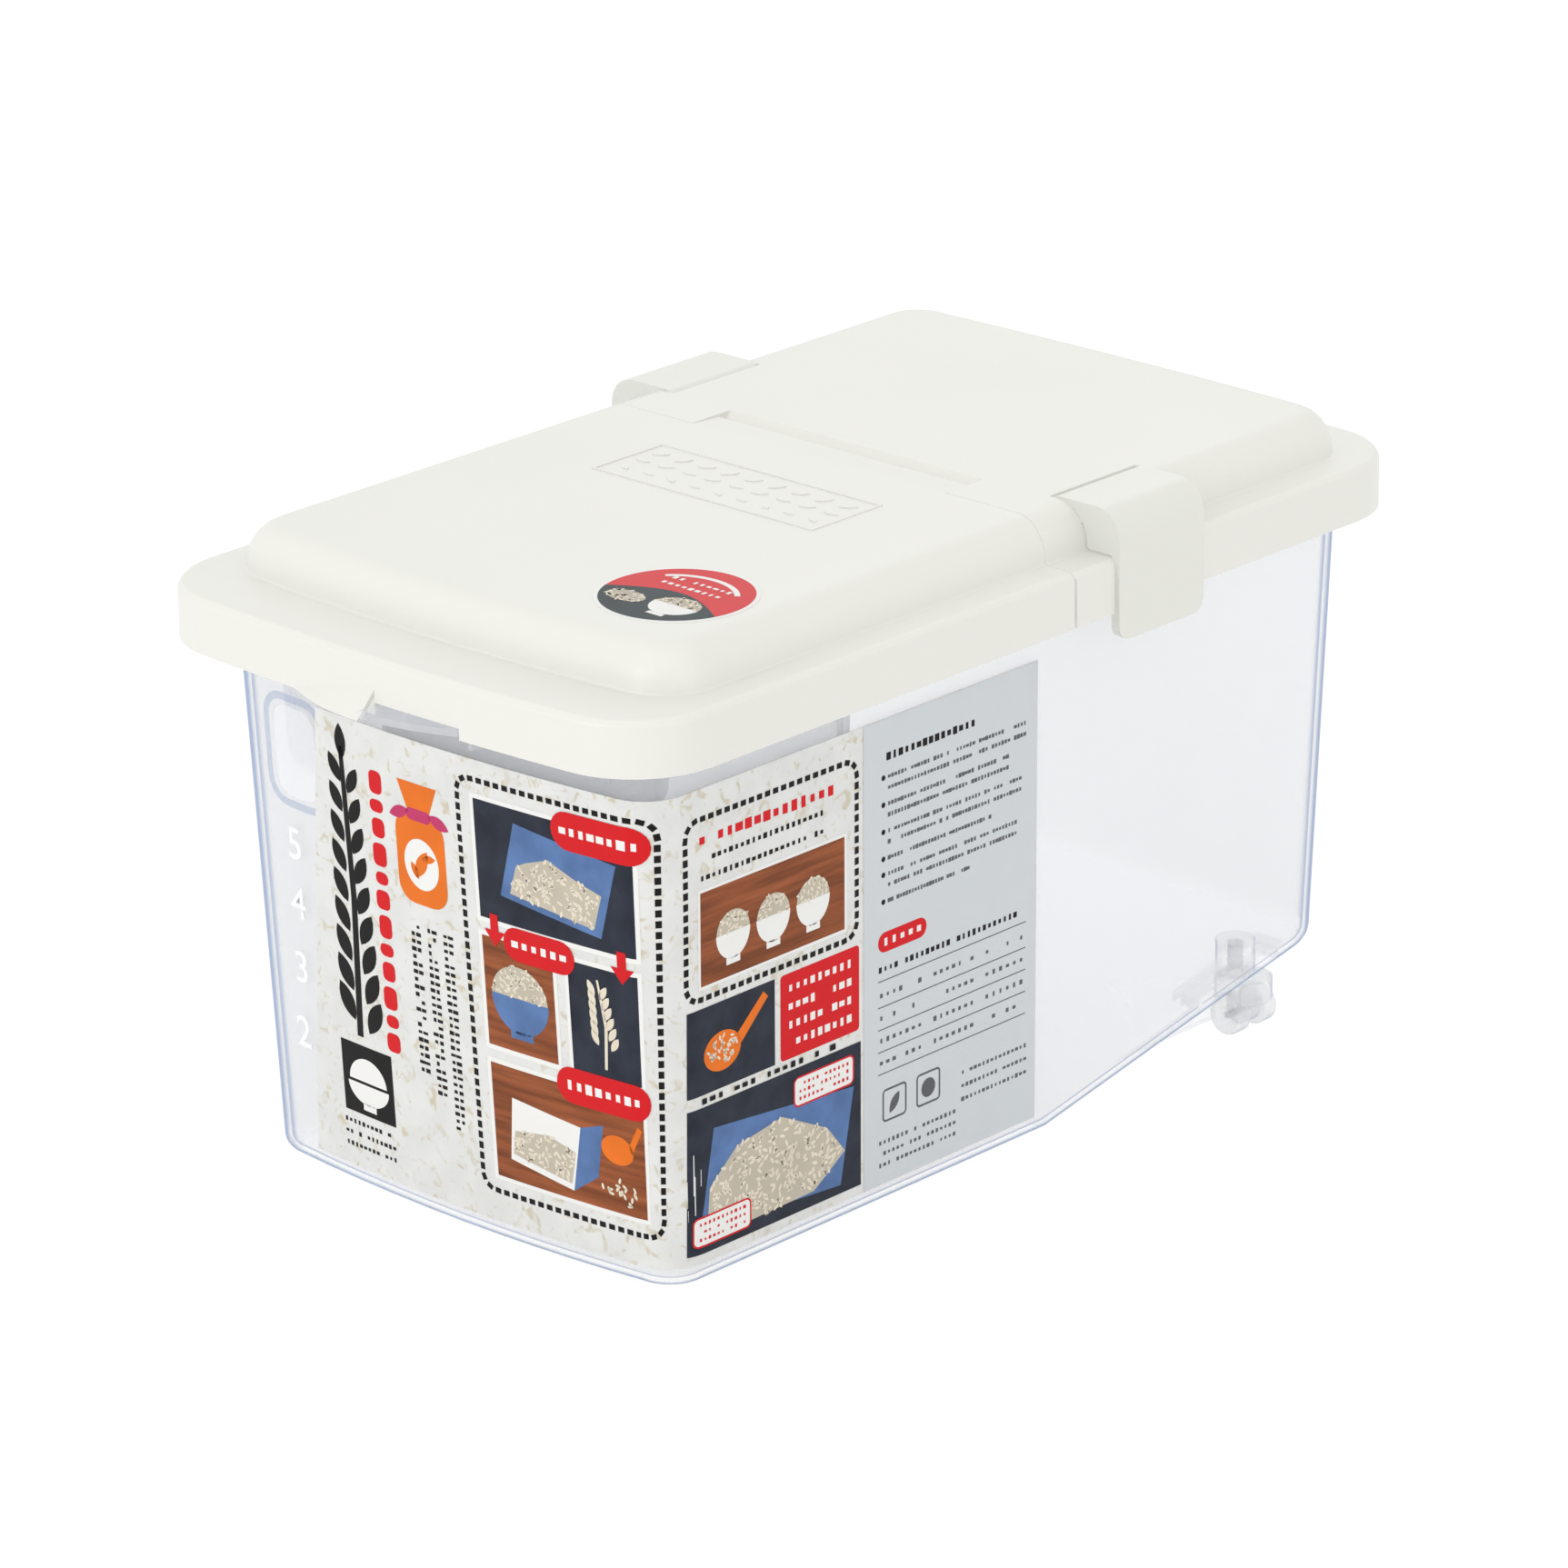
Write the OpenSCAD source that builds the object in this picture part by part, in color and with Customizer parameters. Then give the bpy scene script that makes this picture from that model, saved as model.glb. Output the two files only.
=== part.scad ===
// Rice bin with a flip lid, a slide pocket, a measuring cup and two swivel casters.
// Frame: X to the right, Y to the rear, Z up, millimetres.
// The origin is on the floor, below the middle of the overall length and width.

/* [Overall] */
// Width across the two side clips
overall_w = 217; // [200:1:240]
// Depth from the front lip to the rear of the lid
overall_d = 369; // [340:1:400]
// Height from the floor to the top of the side clips
overall_h = 207; // [195:1:230]

/* [Container] */
// Wall and floor thickness of the container
wall = 2; // [1.6:0.1:2.6]
// Width of the container under its rim
bin_top_w = 182; // [176:1:184]
// How much narrower each side is at the floor than under the rim
side_taper = 2.5; // [1.5:0.5:6]
// How far the front wall leans in from the rim to the floor
front_taper = 9.5; // [6:0.5:14]
// How far the rear wall leans in from the rim to the floor
rear_taper = 9; // [4:0.5:12]
// Radius of the upright corners of the container
bin_corner_r = 14.5; // [13:0.5:20]
// Radius between the walls and the floor
floor_r = 5; // [4:0.5:6]
// Forward bulge of the front wall
front_bow = 6; // [2:0.5:7]
// Length of the raised rear floor in front of the caster stems
slope_run = 107; // [98:1:114]
// Rise of the rear floor per millimetre of depth
slope_rise = 0.195; // [0.19:0.001:0.21]
// Width of the ledge inside the rim that carries the slide pocket
ledge_w = 8; // [7:0.5:9]
// Depth of that ledge below the top of the rim
ledge_drop = 2; // [1.8:0.1:2.4]
// Height of the turned-down edge of the rim
rim_h = 12.6; // [9:0.2:13]

/* [Lid] */
// Wall thickness of the lid
lid_wall = 2; // [1.6:0.1:2.4]
// Height of the lid's skirt from its lower edge to the flange
skirt_h = 18; // [16:0.5:20]
// Height of the raised lid top above the flange
plateau_h = 14.4; // [13.5:0.1:16]
// Width of the flange beside the raised top
flange_side = 12; // [11:0.5:13]
// Width of the flange in front of the raised top
flange_front = 24; // [18:1:28]
// Width of the flange behind the raised top
flange_rear = 16.5; // [14:0.5:20]
// Radius of the lid's outer corners
lid_corner_r = 30; // [26:1:34]
// Horizontal width of the rounded shoulder of the raised top
shoulder_w = 11; // [10:0.5:12]
// Place of the cross seam between the flip lid and the fixed lid
seam_y = 17; // [5:1:30]
// Open gap of the seam in the flange and the raised top
seam_gap = 0.4; // [0.3:0.1:0.8]
// Open gap of the seam in the skirt
skirt_gap = 1.2; // [0.8:0.1:2]
// Length of the hinge tongue behind the seam, up to the hinge axis
tongue_l = 11.2; // [10:0.2:14]
// Width of the hinge tongue
tongue_w = 107.6; // [90:0.2:120]
// How far the tongue dips below the lid's top on its way to the hinge
tongue_dip = 0.6; // [0.4:0.1:0.8]
// Radius of the bead along the rear edge of the tongue
knuckle_r = 1.2; // [1.1:0.1:1.4]
// Length of the recess behind the hinge axis, where the lid folds over
recess_behind = 6.6; // [6.4:0.1:8]
// Radius of the two hinge trunnions
trunnion_r = 1; // [0.8:0.1:1]

/* [Front lip] */
// How far the lip stands out in front of the skirt
lip_reach = 7.5; // [5:0.5:9]
// Half of the width of the lip
lip_half_w = 35; // [28:1:42]

/* [Embossed panel] */
// Width of the raised frame on the flip lid
panel_w = 94; // [70:1:100]
// Depth of the raised frame
panel_d = 32; // [24:1:36]
// Height of the raised lines
emboss_h = 0.4; // [0.3:0.1:0.8]
// Number of raised grains in a row
grain_columns = 9; // [5:1:12]

/* [Side clips] */
// Width of a clip along the lid
clip_w = 40; // [34:1:46]
// Distance of the front edge of a clip behind the seam
clip_setback = 19; // [18:1:26]
// How far a clip stands out from the skirt
clip_proud = 1.5; // [1.2:0.1:2]
// How far a clip reaches below the skirt
clip_drop = 9; // [7:0.5:14]
// Thickness of the clip's plates
clip_wall = 2.2; // [1.8:0.1:2.2]
// Radius of the clip's hinge barrel
clip_barrel_r = 3.3; // [3:0.1:3.5]

/* [Slide pocket] */
// Depth of the pocket below its rim
pocket_depth = 62; // [48:1:66]
// Length of the pocket from front to rear at its rim
pocket_l = 114; // [105:1:125]
// Rearward bulge of the pocket's rear wall
pocket_bow = 14; // [8:1:18]
// Wall thickness of the pocket
pocket_wall = 1.6; // [1.4:0.1:1.8]
// Width of the pocket's rim outside its wall
pocket_rim = 12; // [11.4:0.2:12.6]

/* [Rice cup] */
// Width of the cup across its rim
cup_w = 78; // [66:1:90]
// Length of the cup from front to rear at its rim
cup_l = 72; // [62:1:80]
// Height of the cup
cup_h = 44; // [38:1:48]
// Wall thickness of the cup
cup_wall = 1.5; // [1.2:0.1:1.8]
// Radius of the cup's two front corners
cup_front_r = 9; // [8.5:0.5:14]
// Radius of the cup's two rear corners
cup_rear_r = 27; // [16:1:30]
// Place of the cup across the pocket
cup_x = 0; // [-10:1:10]

/* [Casters] */
// Distance of a caster's wheels from the side of the container
caster_inset = 12; // [11:0.5:15]
// Distance of the casters from the rear of the container
caster_setback = 41; // [37:1:45]
// Diameter of a caster wheel
wheel_d = 13; // [12:0.2:13.4]
// Width of a caster wheel
wheel_w = 6; // [5:0.1:6.2]
// Distance between the middles of a caster's two wheels
wheel_pitch = 13.2; // [12.9:0.1:14]
// How far the wheels trail behind the swivel stem
caster_trail = 3.5; // [2.5:0.1:3.8]
// Radius of the caster's round hood
hood_r = 9.5; // [9:0.1:9.6]
// Radius of the swivel stem
stem_r = 2.5; // [2.2:0.1:3]
// Radius of the wheel axle
axle_r = 1; // [0.8:0.1:1.3]

/* [Labels] */
// Thickness of the paper label
paper_t = 0.2; // [0.15:0.05:0.3]
// Height of the top edge of the label above the floor
label_top = 160; // [140:1:165]
// Height of the bottom edge of the label above the floor
label_bottom = 7; // [6:0.5:20]
// Left end of the label's top edge on the front wall
label_left = -47; // [-55:1:-30]
// How far the left edge of the label slants outward on its way down
label_slant = 16; // [0:1:18]
// Distance of the label's rear edge in front of the raised floor
label_setback = 7; // [7:1:25]
// Diameter of the round sticker
sticker_d = 50; // [36:1:56]
// Distance of the sticker's middle from the side of the raised lid top
sticker_from_side = 36.8; // [34:0.2:60]
// Distance of the sticker's middle from the front of the raised lid top
sticker_from_front = 46; // [38:1:60]

/* [Hidden] */

// Clearances
slack = 0.3;          // between pieces that only lie against each other
rim_slack = 0.7;      // between the skirt and the container's rim
pin_fit = 0.05;       // around a pin that turns in its hole
run_fit = 0.4;        // around a turning barrel in its pocket
paper_gap = 0.1;      // glue line behind a label
past = 5;             // how far a cutting tool runs past the material

// Heights
plateau_z = overall_h - 0.6;
flange_z = plateau_z - plateau_h;
skirt_z = flange_z - skirt_h;
rim_z = flange_z - lid_wall - slack;
ledge_z = rim_z - ledge_drop;
rim_wall = 1.8;
rim_under_z = ledge_z - wall;

// Plans are [half width, front y, rear y, front radius, rear radius, front bow, rear bow]
lid_bow = 5.5;
rear_bow = 2;
lid_plan = [overall_w / 2 - clip_proud, -overall_d / 2 + lip_reach, overall_d / 2,
            lid_corner_r, lid_corner_r, lid_bow, rear_bow];
plateau_r = 18;
plateau_plan = [lid_plan[0] - flange_side, lid_plan[1] + flange_front, lid_plan[2] - flange_rear,
                plateau_r, plateau_r, lid_bow, rear_bow];
rim_plan = inset(lid_plan, lid_wall + rim_slack);
bin_front_y = rim_plan[1] + 14.3;
bin_rear_y = rim_plan[2] - 8.8;
caster_x = bin_top_w / 2 - caster_inset;
caster_y = bin_rear_y - caster_setback;
slope_start = caster_y - slope_run;
label_rear = slope_start - label_setback;
ledge_r = bin_corner_r + 5;
ledge_plan = [bin_top_w / 2 - wall + ledge_w, bin_front_y + wall - ledge_w, bin_rear_y - wall + ledge_w,
              ledge_r, ledge_r, lid_bow, rear_bow];

// Hinge of the flip lid
hinge_y = seam_y + tongue_l;
hinge_z = plateau_z - tongue_dip - knuckle_r;
notch_half_w = tongue_w / 2 + slack;
notch_rear_y = hinge_y + recess_behind;
notch_floor_z = hinge_z - knuckle_r - 1;
notch_ramp = plateau_z - notch_floor_z;    // the rear of the recess rises at 45 degrees
trunnion_l = 1.8;

// Clips
clip_y0 = seam_y + clip_setback;
clip_y1 = clip_y0 + clip_w;
clip_x = overall_w / 2;
clip_bottom_z = skirt_z - clip_drop;
clip_axis_z = overall_h - clip_barrel_r;
clip_axis_x = plateau_plan[0] - shoulder_w;
clip_pocket_x = clip_axis_x - clip_barrel_r - run_fit;
clip_pocket_z = clip_axis_z - clip_barrel_r - run_fit;
clip_pin_r = 1.25;
clip_pin_l = 1.7;
clip_round_r = 9.5;
clip_pocket_h = plateau_z + past - clip_pocket_z;
skirt_cut_x = rim_plan[0] + 0.5;

// Slide pocket and cup
pocket_rim_plan = inset(ledge_plan, slack + 0.4);
pocket_rim_t = 1.6;
pocket_rim_z = ledge_z + slack;
pocket_top_z = pocket_rim_z + pocket_rim_t;
pocket_floor_z = pocket_top_z - pocket_depth;
pocket_taper = 2;      // how much the pocket narrows on each side towards its floor
pocket_front_y = pocket_rim_plan[1] + pocket_rim + 3;
pocket_rear_y = pocket_front_y + pocket_l;
pocket_plan = [pocket_rim_plan[0] - pocket_rim, pocket_front_y, pocket_rear_y, 16, 22, lid_bow, pocket_bow];
pocket_lip_plan = [pocket_rim_plan[0], pocket_rim_plan[1], pocket_rear_y + 6,
                   pocket_rim_plan[3], 26, pocket_rim_plan[5], pocket_bow];
cup_y = pocket_front_y + bow_at(pocket_plan, lid_bow, cup_w / 2 + abs(cup_x))
    + pocket_taper + pocket_wall + slack + cup_l / 2;
cup_z = pocket_floor_z + pocket_wall + slack;

// Casters
wheel_r = wheel_d / 2;
hood_top_z = 17.9;
stem_x = caster_x - caster_trail;
stem_top_z = hood_top_z + 11;
stem_seat_r = 6.5;
web_w = wheel_pitch - wheel_w - 2 * slack;
wheel_cap = 1;         // thickness of a wheel outside the end of its axle
housing_top = 6;       // height of the caster housing above the raised floor
housing_x0 = caster_x - 4;
housing_y0 = caster_y - 31;
housing_y1 = caster_y + 11;
housing_wall = 2;
guard_rib_z = 8;       // lower edge of the rib in front of each caster
guard_rib_y0 = caster_y - 66;
guard_rib_y1 = caster_y - 15.5;
guard_rib_t = 2.4;

// Points in a plan: along half the front, round a corner, along half the rear
front_n = 5;
corner_n = 8;

// A plan moved in by d on every side
function inset(p, d) = [p[0] - d, p[1] + d, p[2] - d, p[3] - d, p[4] - d, p[5], p[6]];

// Depth offset of a bowed edge at x, and the angle of the edge there
function bow_at(p, bow, x) = bow * pow(x / p[0], 2);
function bow_angle(p, bow, x) = atan(2 * bow * x / pow(p[0], 2));

// Right half of a plan from the middle of the front to the middle of the rear
function half_plan(p) =
    let (fx = p[0] - p[3], fa = bow_angle(p, p[5], fx), fe = fx + p[3] * sin(fa),
         rx = p[0] - p[4], ra = bow_angle(p, p[6], rx), re = rx + p[4] * sin(ra),
         fcy = p[1] + bow_at(p, p[5], fe) + p[3] * cos(fa),
         rcy = p[2] - bow_at(p, p[6], re) - p[4] * cos(ra))
    concat(
        [for (i = [0 : front_n - 1]) let (x = fe * i / front_n) [x, p[1] + bow_at(p, p[5], x)]],
        [for (i = [0 : corner_n]) let (a = fa + (90 - fa) * i / corner_n)
            [fx + p[3] * sin(a), fcy - p[3] * cos(a)]],
        [[p[0], slope_start]],
        [for (i = [corner_n : -1 : 0]) let (a = ra + (90 - ra) * i / corner_n)
            [rx + p[4] * sin(a), rcy + p[4] * cos(a)]],
        [for (i = [front_n - 1 : -1 : 0]) let (x = re * i / front_n) [x, p[2] - bow_at(p, p[6], x)]]);

// The same, but with the middle point of the side halfway between the corners
function half_plan_plain(p) =
    let (h = half_plan(p), k = front_n + corner_n + 1)
    [for (i = [0 : len(h) - 1]) i == k ? [h[k][0], (h[k - 1][1] + h[k + 1][1]) / 2] : h[i]];

// A closed ring of points at height z: the right half, then its mirror image
function ring_of(h, z, rise = 0) =
    concat(
        [for (q = h) [q[0], q[1], z + rise * max(0, q[1] - slope_start)]],
        [for (i = [len(h) - 2 : -1 : 1]) let (q = h[i]) [-q[0], q[1], z + rise * max(0, q[1] - slope_start)]]);
function ring(p, z, rise = 0) = ring_of(half_plan(p), z, rise);
function plain_ring(p, z) = ring_of(half_plan_plain(p), z);

// A closed skin through a stack of rings, capped by strips across the first and the last
module skin(rings) {
    n = len(rings[0]);
    m = n / 2;
    last = n * (len(rings) - 1);
    sides = [for (j = [0 : len(rings) - 2]) for (i = [0 : n - 1])
        [j * n + i, (j + 1) * n + i, (j + 1) * n + (i + 1) % n, j * n + (i + 1) % n]];
    strips = [for (i = [0 : m - 1])
        i == 0 ? [0, 1, n - 1] : i == m - 1 ? [i, m, n - i] : [i, i + 1, n - i - 1, n - i]];
    polyhedron(
        points = [for (r = rings) for (q = r) q],
        faces = concat(sides, strips, [for (s = strips) [for (k = [len(s) - 1 : -1 : 0]) last + s[k]]]),
        convexity = 8);
}

// Plan of the container's outer wall at a height
function bin_plan(z) =
    let (s = 1 - z / rim_under_z)
    [bin_top_w / 2 - side_taper * s, bin_front_y + front_taper * s, bin_rear_y - rear_taper * s,
     bin_corner_r, bin_corner_r, front_bow, rear_bow];

// Rings round the rounded edge of the floor, grown outward by g
function floor_rings(g, r, up) =
    [for (a = up ? [0 : 22.5 : 90] : [90 : -22.5 : 0])
        ring(inset(bin_plan(floor_r), -g + r * (1 - sin(a))), floor_r - r * cos(a), slope_rise)];

// The container as it would be if it were solid, up to a height
module bin_block(top, g = 0) {
    skin(concat(floor_rings(g, floor_r + g, true), [ring(inset(bin_plan(top), -g), top)]));
}

module bin_shell() {
    top_plan = bin_plan(rim_under_z);
    skin(concat(
        floor_rings(0, floor_r, true),
        [ring(top_plan, rim_under_z),
         ring(inset(rim_plan, rim_wall), rim_under_z),
         ring(inset(rim_plan, rim_wall), rim_z - rim_h),
         ring(rim_plan, rim_z - rim_h),
         ring(rim_plan, rim_z - 1),
         ring(inset(rim_plan, 1), rim_z),
         ring(ledge_plan, rim_z),
         ring(ledge_plan, ledge_z),
         ring(inset(top_plan, wall), ledge_z)],
        floor_rings(-wall, floor_r - wall, false)));
}

// A bar that lies along the raised floor, from height z0 to z1 above it
module slope_bar(x0, x1, y0, y1, z0, z1) {
    translate([x1, 0, 0])
        rotate([0, -90, 0])
            linear_extrude(x1 - x0)
                polygon([for (q = [[y0, z0], [y1, z0], [y1, z1], [y0, z1]])
                    [(q[0] - slope_start) * slope_rise + q[1], q[0]]]);
}

// Rib that runs level under the raised floor in front of a caster
module guard_rib() {
    top = wall / 2;
    translate([caster_x + guard_rib_t / 2, 0, 0])
        rotate([0, -90, 0])
            linear_extrude(guard_rib_t)
                polygon([[guard_rib_z, guard_rib_y0], [guard_rib_z, guard_rib_y1],
                         [(guard_rib_y1 - slope_start) * slope_rise + top, guard_rib_y1],
                         [(guard_rib_y0 - slope_start) * slope_rise + top, guard_rib_y0]]);
}

// Everything at one caster that belongs to the container
module caster_mount() {
    intersection() {
        bin_block(rim_under_z);
        difference() {
            slope_bar(housing_x0, bin_top_w / 2, housing_y0, housing_y1, 0, housing_top);
            slope_bar(housing_x0 + housing_wall, bin_top_w / 2 - side_taper - wall,
                housing_y0 + housing_wall, housing_y1 - housing_wall, -1, housing_top - housing_wall);
        }
    }
    translate([stem_x, caster_y, hood_top_z + slack])
        cylinder(r = stem_seat_r, h = stem_top_z + 1 - hood_top_z, $fn = 48);
    guard_rib();
}

// Space under the raised floor that a caster mount leaves open
module caster_hollow() {
    difference() {
        slope_bar(housing_x0 + housing_wall, bin_top_w / 2 - side_taper - wall,
            housing_y0 + housing_wall, housing_y1 - housing_wall, -1, wall + 1);
        translate([stem_x, caster_y, 0])
            cylinder(r = stem_seat_r, h = stem_top_z, $fn = 48);
    }
}

// Round lip in plan, seen from above, between two x values
module lip_sector(x0, x1, z0, z1, r_low, r_high) {
    intersection() {
        translate([0, -overall_d / 2 + lip_r, z0])
            cylinder(r1 = r_low, r2 = r_high, h = z1 - z0, $fn = 180);
        translate([x0, -overall_d / 2 - 1, z0 - 1])
            cube([x1 - x0, lip_reach + lid_wall + 3, z1 - z0 + 2]);
    }
}
lip_sag = lip_reach + bow_at(lid_plan, lid_bow, lip_half_w);
lip_r = (pow(lip_half_w, 2) + pow(lip_sag, 2)) / (2 * lip_sag);
lip_plate_t = 2;
lip_top_z = rim_z - rim_h;
lip_web_t = 1.6;

module container() {
    color([0.88, 0.9, 0.95, 0.5])
    difference() {
        union() {
            difference() {
                bin_shell();
                caster_hollow();
                mirror([1, 0, 0]) caster_hollow();
            }
            caster_mount();
            mirror([1, 0, 0]) caster_mount();
            // pull tab on the right half of the front lip
            lip_sector(slack, lip_half_w - 0.5, lip_top_z - lip_plate_t, lip_top_z + 0.2, lip_r, lip_r);
            // web under the outer end of the tab
            for (x = [3, lip_half_w - 4]) {
                translate([x, bin_front_y - 9, lip_top_z - 9])
                    cube([lip_web_t, 10.5 + bow_at(lid_plan, front_bow, x), 8.5]);
            }
        }
        for (s = [-1, 1]) {
            translate([s * stem_x, caster_y, 0])
                cylinder(r = stem_r + pin_fit, h = stem_top_z + pin_fit, $fn = 48);
        }
    }
}

// Lid skin from the skirt over the flange to the raised top, d inside the outer face
function lid_rings(d) =
    let (edge_r = 3, shoulder_z = flange_z + 1, rise = plateau_h - 1, t = d)
    concat(
        [ring(inset(lid_plan, t), skirt_z)],
        d > 0
            ? [ring(inset(lid_plan, t), flange_z - t)]
            : [for (a = [0 : 30 : 90])
                  ring(inset(lid_plan, edge_r * (1 - cos(a))), flange_z - edge_r + edge_r * sin(a))],
        d > 0
            ? [ring(inset(plateau_plan, t), flange_z - t)]
            : [ring(inset(plateau_plan, -1.2), flange_z), ring(inset(plateau_plan, -0.3), flange_z + 0.4)],
        [for (a = [0 : 15 : 90])
            ring(inset(plateau_plan, t + (shoulder_w - t) * (1 - cos(a))), shoulder_z + (rise - t) * sin(a))]);

module lid_outer() {
    skin(lid_rings(0));
}

module lid_inner() {
    skin(concat([ring(inset(lid_plan, lid_wall), skirt_z - 1)], lid_rings(lid_wall)));
}

// Half spaces in front of and behind a cross plane
module in_front_of(y, z0 = 0, z1 = overall_h + past) {
    translate([-overall_w, -overall_d, z0])
        cube([2 * overall_w, overall_d + y, z1 - z0]);
}

module behind(y, z0 = 0, z1 = overall_h + past) {
    translate([-overall_w, y, z0])
        cube([2 * overall_w, overall_d, z1 - z0]);
}

// One raised grain with pointed ends
module grain(l, w) {
    r = (pow(l, 2) + pow(w, 2)) / (4 * w);
    intersection() {
        translate([0, r - w / 2, 0]) circle(r = r, $fn = 96);
        translate([0, w / 2 - r, 0]) circle(r = r, $fn = 96);
    }
}

// Raised frame with rows of grains on the flip lid
module emboss() {
    frame_line = 0.9;
    grain_l = 6;
    grain_w = 2.4;
    panel_x = 1;
    panel_y = seam_y - 38;
    column_pitch = (panel_w - 14) / (grain_columns - 1);
    row_pitch = panel_d / 4;
    translate([panel_x, panel_y, plateau_z - 0.1])
        linear_extrude(emboss_h + 0.1) {
            difference() {
                square([panel_w, panel_d], center = true);
                square([panel_w - 2 * frame_line, panel_d - 2 * frame_line], center = true);
            }
            for (row = [-1 : 1]) {
                for (i = [0 : grain_columns - 1]) {
                    translate([(i - (grain_columns - 1) / 2) * column_pitch, row * row_pitch])
                        rotate(row * 35 + (i % 2) * 20)
                            grain(grain_l, grain_w);
                }
            }
        }
}

module flip_front_lid() {
    cut_depth = lip_reach + lid_wall + 4;
    tongue_root = 2.5;
    lip_edge_t = lid_wall - 0.7;
    color([0.95, 0.95, 0.92])
    union() {
        difference() {
            lid_outer();
            lid_inner();
            behind(seam_y - seam_gap / 2);
            // the skirt is cut shorter over the container's pull tab
            translate([0, -overall_d / 2 - 1, skirt_z - 1])
                cube([lip_half_w, cut_depth, lip_top_z + 2 * slack - skirt_z + 1]);
        }
        // hinge tongue, the bead along its rear edge and the trunnions
        along_x(tongue_w / 2)
            polygon([[seam_y - tongue_root, plateau_z], [hinge_y, hinge_z + knuckle_r],
                     [hinge_y, hinge_z - knuckle_r], [seam_y - tongue_root, plateau_z - lid_wall]]);
        translate([-tongue_w / 2, hinge_y, hinge_z])
            rotate([0, 90, 0])
                cylinder(r = knuckle_r, h = tongue_w, $fn = 48);
        translate([-tongue_w / 2 - trunnion_l, hinge_y, hinge_z])
            rotate([0, 90, 0])
                cylinder(r = trunnion_r, h = tongue_w + 2 * trunnion_l, $fn = 48);
        // flared white half of the front lip
        difference() {
            lip_sector(-lip_half_w, 0, skirt_z, skirt_z + 8, lip_r, lip_r - lip_reach);
            lip_sector(-lip_half_w + lip_edge_t, 1, skirt_z - 1, skirt_z + 7,
                lip_r - lip_edge_t, lip_r - lip_edge_t - lip_reach);
            lid_inner();
        }
        emboss();
    }
}

module clip_pocket(grow) {
    translate([clip_pocket_x - grow, clip_y0 - run_fit - grow, clip_pocket_z - grow])
        cube([2 * shoulder_w + grow, clip_w + 2 * (run_fit + grow), clip_pocket_h + grow]);
}

module hinge_notch(grow) {
    along_x(notch_half_w + grow)
        offset(delta = grow)
            polygon([[seam_y - tongue_l, notch_floor_z], [notch_rear_y - notch_ramp, notch_floor_z],
                     [notch_rear_y, plateau_z], [notch_rear_y, plateau_z + past],
                     [seam_y - tongue_l, plateau_z + past]]);
}

module fixed_rear_lid() {
    color([0.95, 0.95, 0.92])
    difference() {
        lid_outer();
        difference() {
            lid_inner();
            hinge_notch(lid_wall);
            clip_pocket(lid_wall);
            mirror([1, 0, 0]) clip_pocket(lid_wall);
        }
        hinge_notch(0);
        in_front_of(seam_y + seam_gap / 2);
        in_front_of(seam_y - seam_gap / 2 + skirt_gap, skirt_z - 1, flange_z - lid_wall);
        for (s = [0, 1]) {
            mirror([s, 0, 0]) {
                clip_pocket(0);
                // the skirt is open where the clip passes over the rim
                translate([skirt_cut_x, clip_y0 - run_fit, skirt_z - 1])
                    cube([lid_plan[0], clip_w + 2 * run_fit, overall_h]);
                translate([clip_axis_x, clip_y0 - clip_pin_l - 0.5, clip_axis_z])
                    rotate([-90, 0, 0])
                        cylinder(r = clip_pin_r + pin_fit, h = clip_w + 2 * clip_pin_l + 1, $fn = 48);
            }
        }
        translate([-notch_half_w - lid_wall - 1, hinge_y, hinge_z])
            rotate([0, 90, 0])
                cylinder(r = trunnion_r + pin_fit, h = 2 * (notch_half_w + lid_wall + 1), $fn = 48);
    }
}

// Outer outline of a clip in the X-Z plane, t inside its outer face
module clip_outline(t) {
    cx = clip_x - clip_round_r;
    cz = overall_h - clip_round_r;
    r = clip_round_r - t;
    polygon(concat(
        [[clip_axis_x, overall_h - t]],
        [for (a = [90 : -7.5 : 0]) [cx + r * cos(a), cz + r * sin(a)]],
        [[clip_x - t, clip_bottom_z - t], [clip_axis_x, clip_bottom_z - t]]));
}

// The lid as a clip meets it in the X-Z plane, grown by the running gap
module lid_outline() {
    g = run_fit;
    ex = plateau_plan[0] - shoulder_w;
    polygon(concat(
        [[0, 0], [skirt_cut_x + g, 0], [skirt_cut_x + g, flange_z + g], [plateau_plan[0] + 1.2 + g, flange_z + g]],
        [for (a = [0 : 7.5 : 90])
            [ex + (shoulder_w + g) * cos(a), flange_z + 1 + (plateau_h - 1 + g) * sin(a)]],
        [[0, plateau_z + g]]));
}

// Side wall of a clip in the X-Z plane
module clip_cheek_outline() {
    difference() {
        clip_outline(0);
        intersection() {
            lid_outline();
            translate([0, -1]) square([clip_x, clip_pocket_z + run_fit + 1]);
        }
        translate([0, -1]) square([clip_x - clip_wall - 1.5, skirt_z - 1]);
    }
}

// Turns a Y-Z outline into a solid that reaches half_w to both sides of the middle
module along_x(half_w) {
    translate([-half_w, 0, 0])
        rotate([90, 0, 90])
            linear_extrude(2 * half_w)
                children();
}

// Turns an X-Z outline into a solid between two y values
module along_y(y0, y1) {
    translate([0, y1, 0])
        rotate([90, 0, 0])
            linear_extrude(y1 - y0)
                children();
}

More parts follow.
